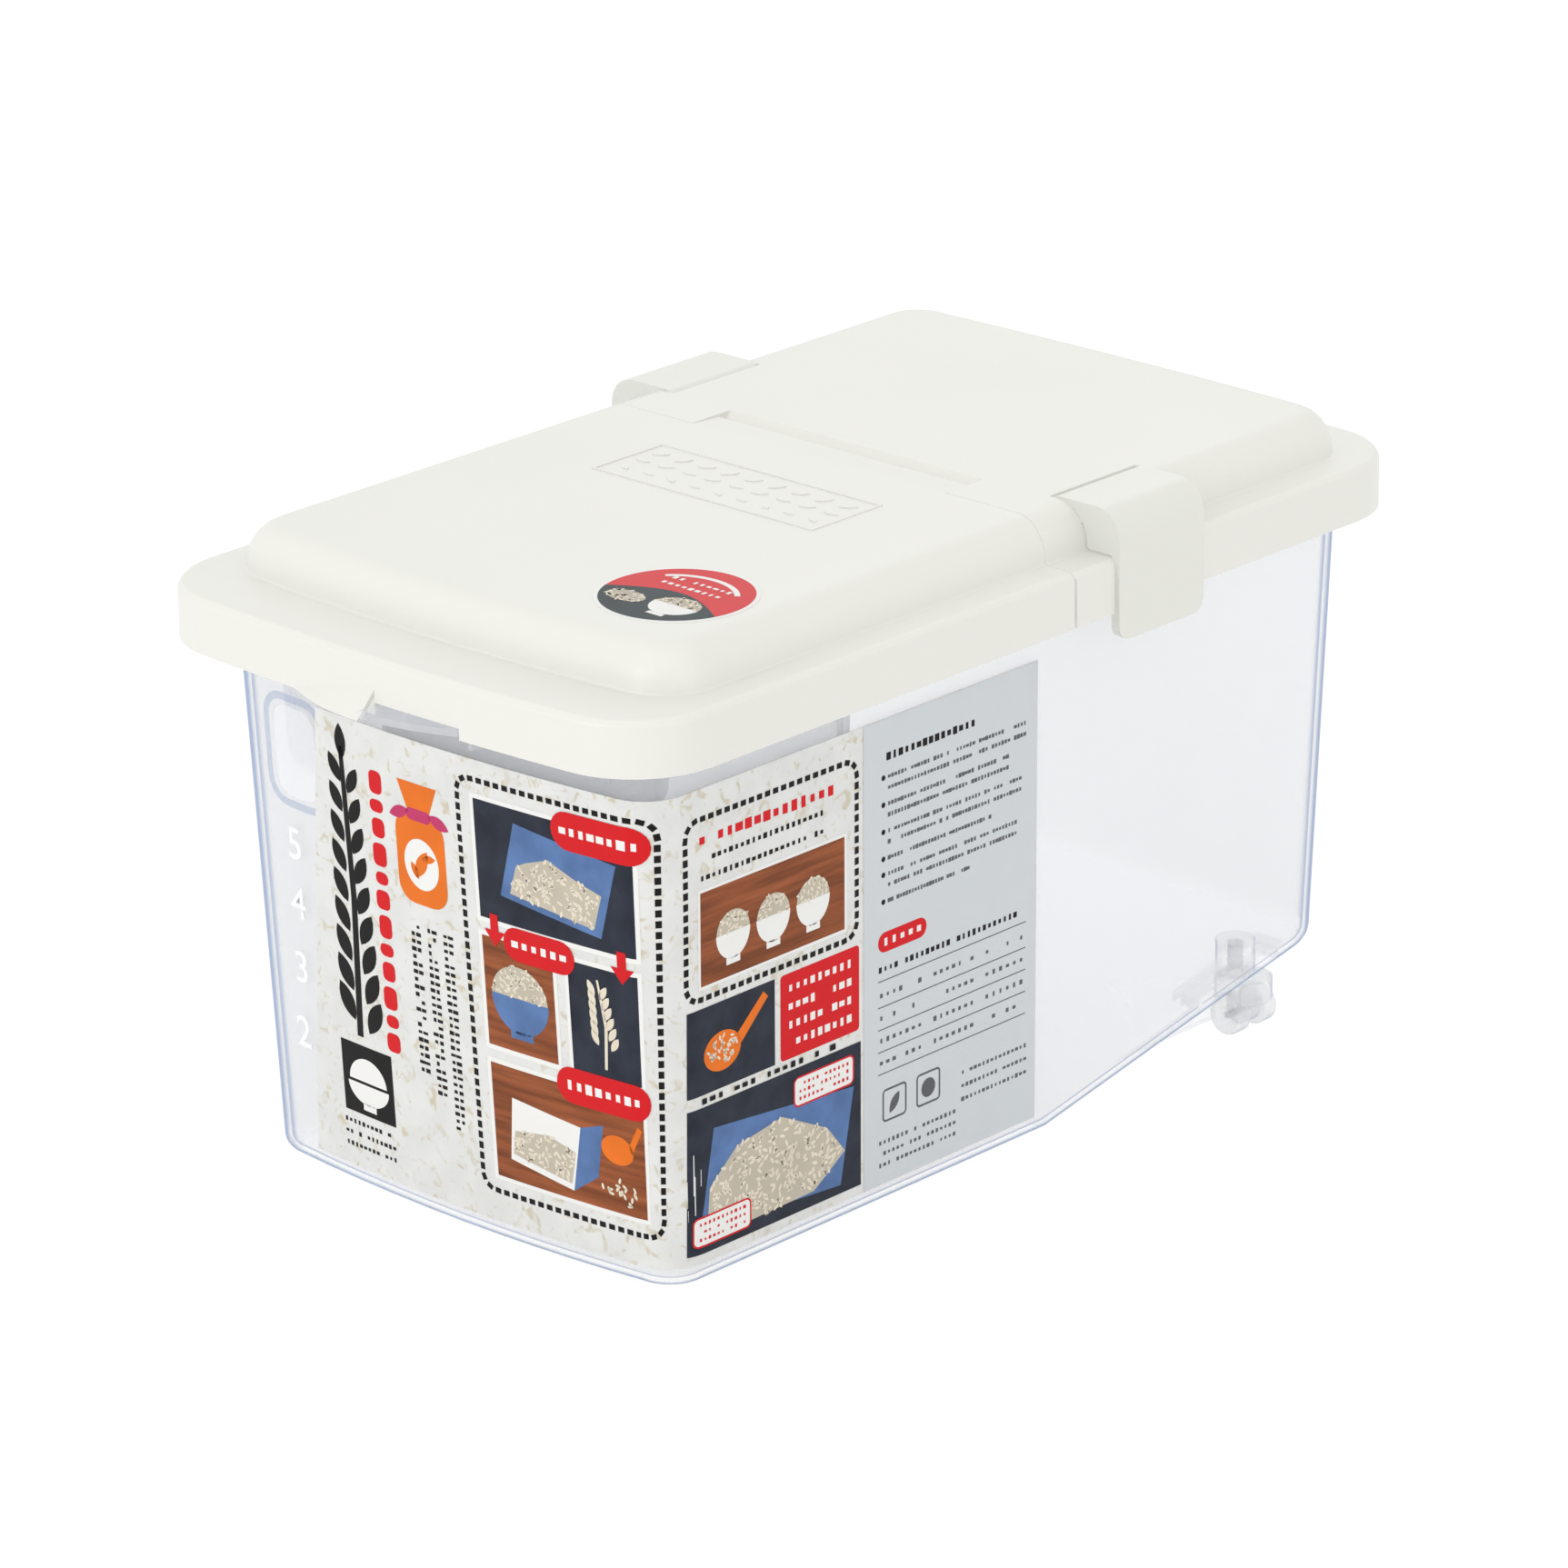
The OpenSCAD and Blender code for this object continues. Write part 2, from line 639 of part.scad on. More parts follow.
module right_clip_solid() {
    hook_in_x = rim_plan[0] - 1.1;
    hook_top_z = rim_z - rim_h - 1.4;
    hook_h = 2.2;
    corner_r = 5;
    cheek_t = 1.8;
    intersection() {
        union() {
            difference() {
                along_y(clip_y0, clip_y1) clip_outline(0);
                along_y(clip_y0 - 1, clip_y1 + 1) clip_outline(clip_wall);
            }
            along_y(clip_y0, clip_y0 + cheek_t) clip_cheek_outline();
            along_y(clip_y1 - cheek_t, clip_y1) clip_cheek_outline();
            translate([hook_in_x, clip_y0 + 4, hook_top_z - hook_h])
                cube([clip_x - hook_in_x - 1, clip_w - 8, hook_h]);
        }
        // rounded lower corners of the outer plate
        union() {
            translate([0, clip_y0, clip_bottom_z + corner_r])
                cube([clip_x, clip_w, overall_h]);
            translate([0, clip_y0 + corner_r, clip_bottom_z])
                cube([clip_x, clip_w - 2 * corner_r, corner_r + 1]);
            for (y = [clip_y0 + corner_r, clip_y1 - corner_r]) {
                translate([0, y, clip_bottom_z + corner_r])
                    rotate([0, 90, 0])
                        cylinder(r = corner_r, h = clip_x, $fn = 48);
            }
        }
    }
    translate([clip_axis_x, clip_y0, clip_axis_z])
        rotate([-90, 0, 0])
            cylinder(r = clip_barrel_r, h = clip_w, $fn = 64);
    translate([clip_axis_x, clip_y0 - run_fit - clip_pin_l, clip_axis_z])
        rotate([-90, 0, 0])
            cylinder(r = clip_pin_r, h = clip_w + 2 * (run_fit + clip_pin_l), $fn = 48);
}

module right_clip() {
    color([0.93, 0.93, 0.9]) right_clip_solid();
}

module left_clip() {
    color([0.93, 0.93, 0.9]) mirror([1, 0, 0]) right_clip_solid();
}

module slide_pocket() {
    r = 8;
    low = inset(pocket_plan, pocket_taper);
    color([0.9, 0.92, 0.96, 0.5])
    skin(concat(
        [for (a = [0 : 30 : 90])
            plain_ring(inset(low, r * (1 - sin(a))), pocket_floor_z + r * (1 - cos(a)))],
        [plain_ring(pocket_plan, pocket_rim_z),
         plain_ring(pocket_lip_plan, pocket_rim_z),
         plain_ring(pocket_lip_plan, pocket_top_z),
         plain_ring(inset(pocket_plan, pocket_wall), pocket_top_z)],
        [for (a = [90 : -30 : 0])
            plain_ring(inset(low, pocket_wall + (r - pocket_wall) * (1 - sin(a))),
                pocket_floor_z + pocket_wall + (r - pocket_wall) * (1 - cos(a)))]));
}

// Plan of the cup at its rim, moved in by d
function cup_plan(d) =
    inset([cup_w / 2, -cup_l / 2, cup_l / 2, cup_front_r, cup_rear_r, 1, 3], d);

module rice_cup() {
    taper = 1.8;
    r = 3;
    bead = 1.2;
    color([0.92, 0.95, 0.97, 0.4])
    translate([cup_x, cup_y, cup_z]) {
        skin(concat(
            [for (a = [0 : 30 : 90]) plain_ring(cup_plan(taper + r * (1 - sin(a))), r * (1 - cos(a)))],
            [plain_ring(cup_plan(bead), cup_h - 3),
             plain_ring(cup_plan(0), cup_h - 2),
             plain_ring(cup_plan(0), cup_h - 0.5),
             plain_ring(cup_plan(0.6), cup_h),
             plain_ring(cup_plan(cup_wall + bead), cup_h)],
            [for (a = [90 : -30 : 0])
                plain_ring(cup_plan(taper + cup_wall + (r - cup_wall) * (1 - sin(a))),
                    cup_wall + (r - cup_wall) * (1 - cos(a)))]));
    }
}

module wrap_label() {
    color([0.86, 0.85, 0.82])
    intersection() {
        difference() {
            skin([ring(inset(bin_plan(label_bottom), -paper_gap - paper_t), label_bottom),
                  ring(inset(bin_plan(label_top), -paper_gap - paper_t), label_top)]);
            skin([ring(inset(bin_plan(label_bottom - past), -paper_gap), label_bottom - past),
                  ring(inset(bin_plan(label_top + past), -paper_gap), label_top + past)]);
        }
        along_y(-overall_d, label_rear)
            polygon([[label_left - label_slant, label_bottom - 1], [label_left, label_top + 1],
                     [overall_w, label_top + 1], [overall_w, label_bottom - 1]]);
    }
}

module lid_sticker() {
    color([0.75, 0.1, 0.12])
    translate([plateau_plan[0] - sticker_from_side, plateau_plan[1] + sticker_from_front, plateau_z])
        cylinder(r = sticker_d / 2, h = paper_t, $fn = 96);
}

// Caster with its wheels turned so that their axle runs from front to rear
module right_caster_body_solid() {
    arch_l = 2 * (wheel_w + slack);
    difference() {
        union() {
            translate([caster_x, caster_y, wheel_r + 4])
                cylinder(r = hood_r, h = hood_top_z - wheel_r - 4, $fn = 64);
            // web between the wheels
            translate([caster_x, caster_y + web_w / 2, wheel_r])
                rotate([90, 0, 0])
                    cylinder(r = 4.5, h = web_w, $fn = 48);
            translate([caster_x - 4.5, caster_y - web_w / 2, wheel_r])
                cube([9, web_w, 6]);
        }
        // wheel arches that leave the hood open outside the wheels
        for (side = [-1, 1]) {
            translate([caster_x, caster_y + side * (wheel_pitch + wheel_w) / 2 + arch_l / 2, wheel_r])
                rotate([90, 0, 0])
                    cylinder(r = wheel_r + 0.6, h = arch_l, $fn = 64);
        }
        translate([caster_x, caster_y + web_w, wheel_r])
            rotate([90, 0, 0])
                cylinder(r = axle_r + 0.02, h = 2 * web_w, $fn = 32);
    }
    translate([stem_x, caster_y, hood_top_z - 1])
        cylinder(r = stem_r, h = stem_top_z - hood_top_z + 1, $fn = 48);
}

module caster_axle_solid() {
    l = wheel_pitch + wheel_w - 2 * (wheel_cap + slack);
    translate([caster_x, caster_y + l / 2, wheel_r])
        rotate([90, 0, 0])
            cylinder(r = axle_r, h = l, $fn = 32);
}

// A wheel, its hub hole open towards the web and closed on the outer face
module caster_wheel_solid(side) {
    edge = 1.2;
    translate([caster_x, caster_y + side * wheel_pitch / 2, wheel_r])
        rotate([side * -90, 0, 0])
            difference() {
                translate([0, 0, -wheel_w / 2])
                    rotate_extrude($fn = 96)
                        polygon(concat(
                            [[0, 0], [wheel_r - 0.5, 0], [wheel_r, 0.5], [wheel_r, wheel_w - edge]],
                            [for (a = [15 : 15 : 90])
                                [wheel_r - edge + edge * cos(a), wheel_w - edge + edge * sin(a)]],
                            [[3.2, wheel_w], [2.8, wheel_w - 0.4], [0, wheel_w - 0.4]]));
                translate([0, 0, -wheel_w / 2 - 1])
                    cylinder(r = axle_r + pin_fit, h = wheel_w + 1 - wheel_cap, $fn = 32);
            }
}

module right_caster_body() {
    color([0.85, 0.88, 0.92]) right_caster_body_solid();
}

module left_caster_body() {
    color([0.85, 0.88, 0.92]) mirror([1, 0, 0]) right_caster_body_solid();
}

module right_caster_axle() {
    color([0.7, 0.72, 0.75]) caster_axle_solid();
}

module left_caster_axle() {
    color([0.7, 0.72, 0.75]) mirror([1, 0, 0]) caster_axle_solid();
}

module right_caster_front_wheel() {
    color([0.85, 0.88, 0.92]) caster_wheel_solid(-1);
}

module right_caster_rear_wheel() {
    color([0.85, 0.88, 0.92]) caster_wheel_solid(1);
}

module left_caster_front_wheel() {
    color([0.85, 0.88, 0.92]) mirror([1, 0, 0]) caster_wheel_solid(-1);
}

module left_caster_rear_wheel() {
    color([0.85, 0.88, 0.92]) mirror([1, 0, 0]) caster_wheel_solid(1);
}

container();
fixed_rear_lid();
flip_front_lid();
left_clip();
right_clip();
slide_pocket();
rice_cup();
wrap_label();
lid_sticker();
left_caster_body();
left_caster_axle();
left_caster_front_wheel();
left_caster_rear_wheel();
right_caster_body();
right_caster_axle();
right_caster_front_wheel();
right_caster_rear_wheel();
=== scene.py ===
import math
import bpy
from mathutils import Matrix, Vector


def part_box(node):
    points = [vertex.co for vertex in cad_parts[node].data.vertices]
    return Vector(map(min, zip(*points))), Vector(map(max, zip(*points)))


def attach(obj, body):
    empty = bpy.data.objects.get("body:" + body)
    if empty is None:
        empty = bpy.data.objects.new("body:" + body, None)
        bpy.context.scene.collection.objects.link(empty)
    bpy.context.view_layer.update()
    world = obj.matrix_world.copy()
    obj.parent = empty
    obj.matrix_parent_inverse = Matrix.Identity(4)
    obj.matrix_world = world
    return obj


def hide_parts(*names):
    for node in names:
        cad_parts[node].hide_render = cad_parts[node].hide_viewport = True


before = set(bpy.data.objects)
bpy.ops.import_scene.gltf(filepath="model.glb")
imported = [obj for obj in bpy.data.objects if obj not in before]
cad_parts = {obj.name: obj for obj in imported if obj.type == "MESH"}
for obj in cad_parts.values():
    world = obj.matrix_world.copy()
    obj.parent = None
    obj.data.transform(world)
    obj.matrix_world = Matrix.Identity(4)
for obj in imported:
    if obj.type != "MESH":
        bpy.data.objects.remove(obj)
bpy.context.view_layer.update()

from types import SimpleNamespace

import bmesh
import bpy
from mathutils import Matrix, Vector
from mathutils.bvhtree import BVHTree

bl_info = {
    "name": "Rice bin with flip lid",
    "version": (1, 0, 0),
    "blender": (4, 5, 0),
    "location": "3D View > Sidebar > Rice bin",
    "description": "Finishes, printed label, scales and studio for a rice bin with a flip lid",
    "category": "Object",
}

MM = 0.001                               # metres in a millimetre
FAR = 0.4                                # metres from which a surface is looked for
CAP_HEIGHT = 0.7                         # height of a figure as a share of the font's size
PRINT_GAP = 0.00004                      # metres between a surface and the first print on it
LAYER = 0.00003                          # metres from one layer of print to the next
STRIP = 0.0025                           # metres, width of the strips that a drawing is cut into
WELD = 3e-6                              # metres within which vertices are joined
FLAT_ANGLE = math.radians(0.05)          # faces that differ by less are one face
SMOOTH_ANGLE = math.radians(28)          # edges that turn by less are shaded smoothly
BEVEL_ANGLE = math.radians(34)           # edges that turn by more are rounded
FLOOR_RADIUS = 14.0                      # metres
AIM = Vector((0, 0, 0.1))                # point that the lamps are turned to
LOOK_SHIFT = (-0.00021, -0.00737)        # metres to the right and up that the camera's target is moved by
CLIP_ROUND = 1.4                         # the clips' edges are rounder by this factor
STICKER_RIM = 1.3                        # millimetres of bare film round the sticker's print


# ---------------------------------------------------------------- sizes and colours

def length(label, text, value):
    return bpy.props.FloatProperty(name=label, description=text, default=value, min=0.0, unit="LENGTH", precision=5)


def angle(label, text, degrees):
    return bpy.props.FloatProperty(name=label, description=text, default=math.radians(degrees), subtype="ANGLE")


def power(label, text, watts):
    return bpy.props.FloatProperty(name=label, description=text, default=watts, min=0.0, subtype="POWER")


def colour(label, text, red, green, blue):
    return bpy.props.FloatVectorProperty(
        name=label, description=text, default=srgb(red, green, blue), size=3, min=0.0, max=1.0, subtype="COLOR")


def srgb(red, green, blue):
    """The linear colour of a colour given in 0 to 255 as a screen shows it."""
    return tuple(
        v / 12.92 if v <= 0.04045 else ((v + 0.055) / 1.055) ** 2.4
        for v in (red / 255, green / 255, blue / 255))


class RiceBinPlastic(bpy.types.PropertyGroup):
    """Edges and colours of the moulded parts"""
    edge_round: length("Edge radius", "Rounding of the moulded edges", 0.00035)
    lid_colour: colour("Lid", "Ivory white of the lid", 234, 234, 228)
    clip_colour: colour("Clips", "Ivory white of the side clips", 229, 230, 223)
    body_colour: colour("Bin", "Milky tint of the translucent bin", 246, 248, 253)
    edge_colour: colour("Bin edges", "Blue tint where the wall is seen edge on", 142, 166, 204)
    pocket_colour: colour("Pocket", "Milky tint of the slide pocket", 244, 246, 253)
    pocket_edge_colour: colour("Pocket edges", "Pale blue where the pocket's wall is seen edge on", 204, 212, 226)
    cup_colour: colour("Cup", "Tint of the clear cup", 226, 231, 245)
    caster_colour: colour("Casters", "Pale tint of the casters", 246, 248, 252)
    scale_colour: colour("Scale", "Pale raised figures of the scale", 246, 248, 252)


class RiceBinLabel(bpy.types.PropertyGroup):
    """Colours and line sizes of the printed label and the sticker"""
    paper_colour: colour("Paper", "Grey-white speckled paper", 230, 231, 229)
    plain_colour: colour("Plain panel", "Cooler grey of the plain panel", 210, 215, 219)
    red_ink: colour("Red", "Red ink", 214, 32, 38)
    black_ink: colour("Black", "Black ink", 26, 24, 24)
    orange_ink: colour("Orange", "Orange ink", 236, 120, 40)
    pink_ink: colour("Pink", "Pink ink", 196, 62, 108)
    wood_colour: colour("Table", "Brown table top in the pictures", 148, 84, 52)
    night_colour: colour("Dark panel", "Blue-black ground in the pictures", 38, 42, 52)
    glass_colour: colour("Tray blue", "Blue of the trays in the pictures", 84, 112, 158)
    rice_colour: colour("Rice", "Rice in the pictures", 236, 226, 206)
    dash_length: length("Dash", "Length of a dash in the dashed frames", 0.0023)
    dash_pitch: length("Dash pitch", "Distance from dash to dash", 0.0035)
    dash_width: length("Dash width", "Width of a dash", 0.0018)
    corner_radius: length("Bin corner", "Radius of the bin's upright corner under the label", 0.0148)


class RiceBinStage(bpy.types.PropertyGroup):
    """Camera and light"""
    azimuth: angle("Azimuth", "Turn of the camera round the bin", 43.38)
    elevation: angle("Elevation", "Height angle of the camera", 20.43)
    roll: angle("Roll", "Roll of the camera", -0.86)
    distance: length("Distance", "Distance of the camera from the bin", 2.4694)
    target_height: length("Target height", "Height of the point that the camera looks at", 0.110)
    lens: bpy.props.FloatProperty(
        name="Lens", description="Focal length in millimetres on a 36 mm sensor", default=179.55, min=10.0)
    world_light: bpy.props.FloatProperty(
        name="World light", description="Strength of the even light from all round", default=0.94, min=0.0)
    key_light: power("Key light", "Power of the large lamp above and in front", 17.0)
    side_light: power("Side light", "Power of the lamp on the right", 5.0)
    rim_light: power("Rim light", "Power of the lamp behind", 2.0)


# ---------------------------------------------------------------- nodes

def part(kind, values=None, **settings):
    """A node still to be made: its kind, its input values and its settings."""
    return kind, values or {}, settings


def maths(operation, values=None):
    return part("ShaderNodeMath", values, operation=operation)


def noise(scale, detail=2, distortion=0):
    return part("ShaderNodeTexNoise", {"Scale": scale, "Detail": detail, "Distortion": distortion})


def smooth_rise(low, high):
    return part("ShaderNodeMapRange", {"From Min": low, "From Max": high}, interpolation_type="SMOOTHSTEP")


def colour_mix(values=None):
    return part("ShaderNodeMix", values, data_type="RGBA")


def socket_of(sockets, name):
    """The socket of that name or, where the name is a number, at that place."""
    return sockets[int(name) if name.isdigit() else name]


def fill_tree(tree, made, parts, links):
    """Adds the named parts to the nodes already made, and links them as "from.Output > to.Input" says."""
    for i, (name, (kind, values, settings)) in enumerate(parts.items()):
        node = tree.nodes.new(kind)
        node.location = (220 * (i % 6) - 900, 450 - 300 * (i // 6))
        for key, value in settings.items():
            setattr(node, key, value)
        for key, value in values.items():
            node.inputs[key].default_value = value
        made[name] = node
    for line in links.replace("\n", ",").split(","):
        if line.strip():
            source, target = (end.strip().split(".", 1) for end in line.split(">"))
            tree.links.new(
                socket_of(made[source[0]].outputs, source[1]), socket_of(made[target[0]].inputs, target[1]))


def start_and_end(tree):
    """The nodes that a group's inputs come from and its outputs go to, by name."""
    made = {"start": tree.nodes.new("NodeGroupInput"), "end": tree.nodes.new("NodeGroupOutput")}
    made["start"].location = (-1150, 0)
    made["end"].location = (700, 0)
    return made


def surface_group(name, inputs, outputs, parts, links):
    """A shader node group with the named sockets, made on first use."""
    if name in bpy.data.node_groups:
        return bpy.data.node_groups[name]
    tree = bpy.data.node_groups.new(name, "ShaderNodeTree")
    for label, value in inputs.items():
        kind = "NodeSocketColor" if isinstance(value, tuple) else "NodeSocketFloat"
        tree.interface.new_socket(name=label, in_out="INPUT", socket_type=kind).default_value = value
    for label in outputs:
        kind = "NodeSocketColor" if label == "Color" else "NodeSocketFloat"
        tree.interface.new_socket(name=label, in_out="OUTPUT", socket_type=kind)
    fill_tree(tree, start_and_end(tree), parts, links)
    return tree


def moulded_surface():
    """Colour, roughness and height of moulded plastic: slow flow marks and a fine satin grain."""
    return surface_group("Moulded surface", {
        "Color": (0.8, 0.8, 0.8, 1), "Shade Color": (0.7, 0.7, 0.7, 1), "Flow": 0.3, "Roughness": 0.3, "Grain": 0.5,
    }, ("Color", "Roughness", "Height"), {
        "place": part("ShaderNodeTexCoord"),
        "flow": noise(14, 3),
        "fine": noise(1500, 2),
        "amount": maths("MULTIPLY"),
        "mix": colour_mix(),
        "rough": maths("MULTIPLY_ADD", {1: 0.18}),
        "spread": maths("SUBTRACT", {1: 0.5}),
        "height": maths("MULTIPLY"),
    }, """
        place.Object > flow.Vector, place.Object > fine.Vector, flow.Fac > amount.0, start.Flow > amount.1
        amount.0 > mix.Factor, start.Color > mix.A, start.Shade Color > mix.B, mix.Result > end.Color
        flow.Fac > spread.0, spread.0 > rough.0, start.Roughness > rough.2, rough.0 > end.Roughness
        fine.Fac > height.0, start.Grain > height.1, height.0 > end.Height""")


def printed_paper():
    """Colour, roughness and height of printed paper: tooth, soft clouding and small beige flecks."""
    return surface_group("Printed paper", {
        "Color": (0.8, 0.8, 0.8, 1), "Cloud Color": (0.7, 0.7, 0.7, 1), "Fleck Color": (0.6, 0.5, 0.35, 1),
        "Cloud": 0.4, "Flecks": 0.0, "Roughness": 0.45,
    }, ("Color", "Roughness", "Height"), {
        "place": part("ShaderNodeTexCoord"),
        "cloud": noise(90, 5),
        "fleck": noise(250, 2, 0.9),
        "tooth": noise(2600),
        "cut": smooth_rise(0.54, 0.74),
        "share": maths("MULTIPLY"),
        "spread": part("ShaderNodeMapRange", {"From Min": 0.35, "From Max": 0.65}),
        "haze": maths("MULTIPLY"),
        "first": colour_mix(),
        "second": colour_mix(),
        "rough": maths("MULTIPLY_ADD", {1: 0.15}),
    }, """
        place.Object > cloud.Vector, place.Object > fleck.Vector, place.Object > tooth.Vector
        fleck.Fac > cut.Value, cut.Result > share.0, start.Flecks > share.1
        cloud.Fac > spread.Value, spread.Result > haze.0, start.Cloud > haze.1
        haze.0 > first.Factor, start.Color > first.A, start.Cloud Color > first.B
        share.0 > second.Factor, first.Result > second.A, start.Fleck Color > second.B, second.Result > end.Color
        tooth.Fac > rough.0, start.Roughness > rough.2, rough.0 > end.Roughness, tooth.Fac > end.Height""")


def rounded_corners():
    """A mask that is 1 where a wall turns at a rounded corner or slopes, and Flat Share on upright and level walls."""
    return surface_group("Rounded corners", {"Flat Share": 0.3}, ("Mask",), {
        "place": part("ShaderNodeTexCoord"),
        "parts": part("ShaderNodeSeparateXYZ"),
        "turned": part("ShaderNodeCombineXYZ"),
        "product": part("ShaderNodeVectorMath", operation="MULTIPLY"),
        "size": part("ShaderNodeVectorMath", operation="ABSOLUTE"),
        "pairs": part("ShaderNodeSeparateXYZ"),
        "first": maths("MAXIMUM"),
        "second": maths("MAXIMUM"),
        "rise": smooth_rise(0.14, 0.36),
    }, """
        place.Normal > parts.Vector, parts.Y > turned.X, parts.Z > turned.Y, parts.X > turned.Z
        place.Normal > product.0, turned.Vector > product.1, product.Vector > size.0, size.Vector > pairs.Vector
        pairs.X > first.0, pairs.Y > first.1, first.0 > second.0, pairs.Z > second.1
        second.0 > rise.Value, start.Flat Share > rise.To Min, rise.Result > end.Mask""")


def rgba(value):
    return (value[0], value[1], value[2], 1.0)


def scaled(value, factor):
    return tuple(min(1.0, v * factor) for v in value)


def material_with(name, values, parts, links, seep=0.0, density=None):
    """A material of those parts. With seep, that share of the room's light passes what the eye sees as it is."""
    material = bpy.data.materials.new(name)
    material.use_nodes = True
    material.node_tree.nodes.clear()
    parts = {"out": part("ShaderNodeOutputMaterial"), "shader": part("ShaderNodeBsdfPrincipled", values), **parts}
    if seep:
        parts.update({
            "path": part("ShaderNodeLightPath"),
            "either": maths("MAXIMUM"),
            "keep": maths("MULTIPLY_ADD", {1: -seep, 2: 1.0})})
        links += """
            path.Is Diffuse Ray > either.0, path.Is Shadow Ray > either.1, either.0 > keep.0"""
        if density:
            parts["product"] = maths("MULTIPLY")
            links += f", {density} > product.0, keep.0 > product.1, product.0 > shader.Alpha"
        else:
            links += ", keep.0 > shader.Alpha"
    fill_tree(material.node_tree, {}, parts, "shader.BSDF > out.Surface," + links)
    return material


def moulded(tint, shade, flow, roughness, grain, strength, depth):
    """The nodes that a moulded plastic shares: its surface and its bump."""
    return {
        "surface": part("ShaderNodeGroup", {
            "Color": rgba(tint), "Shade Color": rgba(scaled(tint, shade)), "Flow": flow, "Roughness": roughness,
            "Grain": grain}, node_tree=moulded_surface()),
        "bump": part("ShaderNodeBump", {"Strength": strength, "Distance": depth})}


SURFACE_LINKS = """
    surface.Roughness > shader.Roughness, surface.Height > bump.Height, bump.Normal > shader.Normal"""


def plastic(name, tint, roughness, flow=0.25, grain=0.6, coat=0.0, shade=0.9, seep=0.0):
    """Opaque moulded plastic, through which a little light may seep."""
    return material_with(
        name, {"IOR": 1.49, "Coat Weight": coat, "Coat Roughness": 0.12},
        moulded(tint, shade, flow, roughness, grain, 0.25, 0.00006),
        "surface.Color > shader.Base Color," + SURFACE_LINKS, seep)


def clear_plastic(name, tint, edge, face_alpha, edge_alpha, roughness, seep=0.75):
    """Translucent moulded plastic, denser and bluer where a corner of its wall is seen edge on."""
    return material_with(name, {"IOR": 1.49}, {
        **moulded(tint, 0.93, 0.5, roughness, 0.5, 0.2, 0.00005),
        "facing": part("ShaderNodeLayerWeight", {"Blend": 0.5}),
        "rise": smooth_rise(0.42, 0.76),
        "corner": part("ShaderNodeGroup", {"Flat Share": 0.22}, node_tree=rounded_corners()),
        "dense": maths("MULTIPLY"),
        "mix": colour_mix({"B": rgba(edge)}),
        "alpha": part("ShaderNodeMapRange", {"To Min": face_alpha, "To Max": edge_alpha}),
    }, SURFACE_LINKS + """
        facing.Facing > rise.Value, rise.Result > dense.0, corner.Mask > dense.1
        dense.0 > mix.Factor, surface.Color > mix.A, mix.Result > shader.Base Color, dense.0 > alpha.Value
        """, seep, "alpha.Result")


def print_ink(
        name, tint, roughness=0.4, cloud=0.3, cloud_tint=None,
        flecks=0.0, fleck_tint=(0.45, 0.36, 0.2), gloss=0.12, seep=0.0):
    """Printed paper, or ink on it."""
    return material_with(name, {"Specular IOR Level": gloss}, {
        "surface": part("ShaderNodeGroup", {
            "Color": rgba(tint), "Cloud Color": rgba(cloud_tint or scaled(tint, 0.86)), "Fleck Color": rgba(fleck_tint),
            "Cloud": cloud, "Flecks": flecks, "Roughness": roughness}, node_tree=printed_paper()),
        "bump": part("ShaderNodeBump", {"Strength": 0.15, "Distance": 0.00003}),
    }, "surface.Color > shader.Base Color," + SURFACE_LINKS, seep)


def wood_print(name, tint):
    """Printed picture of a wooden table top: grain lines along the label."""
    material = material_with(name, {"Roughness": 0.42, "Specular IOR Level": 0.12}, {
        "place": part("ShaderNodeTexCoord"),
        "stretch": part("ShaderNodeMapping", {"Scale": (1.0, 1.0, 14.0)}),
        "grain": noise(28, 6),
        "ramp": part("ShaderNodeValToRGB"),
        "bump": part("ShaderNodeBump", {"Strength": 0.05, "Distance": 0.00003}),
    }, """
        place.Object > stretch.Vector, stretch.Vector > grain.Vector, grain.Fac > ramp.Fac
        ramp.Color > shader.Base Color, grain.Fac > bump.Height, bump.Normal > shader.Normal""")
    ramp = next(node for node in material.node_tree.nodes if node.type == "VALTORGB").color_ramp
    for stop, position, factor in zip(ramp.elements, (0.35, 0.68), (0.62, 1.25)):
        stop.position = position
        stop.color = rgba(scaled(tint, factor))
    return material


# ---------------------------------------------------------------- making meshes

def link(obj):
    bpy.context.scene.collection.objects.link(obj)
    return obj


def evaluated_mesh(obj):
    """The mesh that an object shows with its modifiers. The object itself is taken away."""
    bpy.context.view_layer.update()
    graph = bpy.context.evaluated_depsgraph_get()
    mesh = bpy.data.meshes.new_from_object(obj.evaluated_get(graph), preserve_all_data_layers=True, depsgraph=graph)
    bpy.data.objects.remove(obj)
    return mesh


def finish_piece(name, mesh, body, material, node=None):
    """Makes a finished mesh a piece that rides on a body, in the place of a node if one is named."""
    mesh.name = name
    obj = link(bpy.data.objects.new(name, mesh))
    mesh.materials.append(material)
    if node:
        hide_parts(node)
    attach(obj, body)


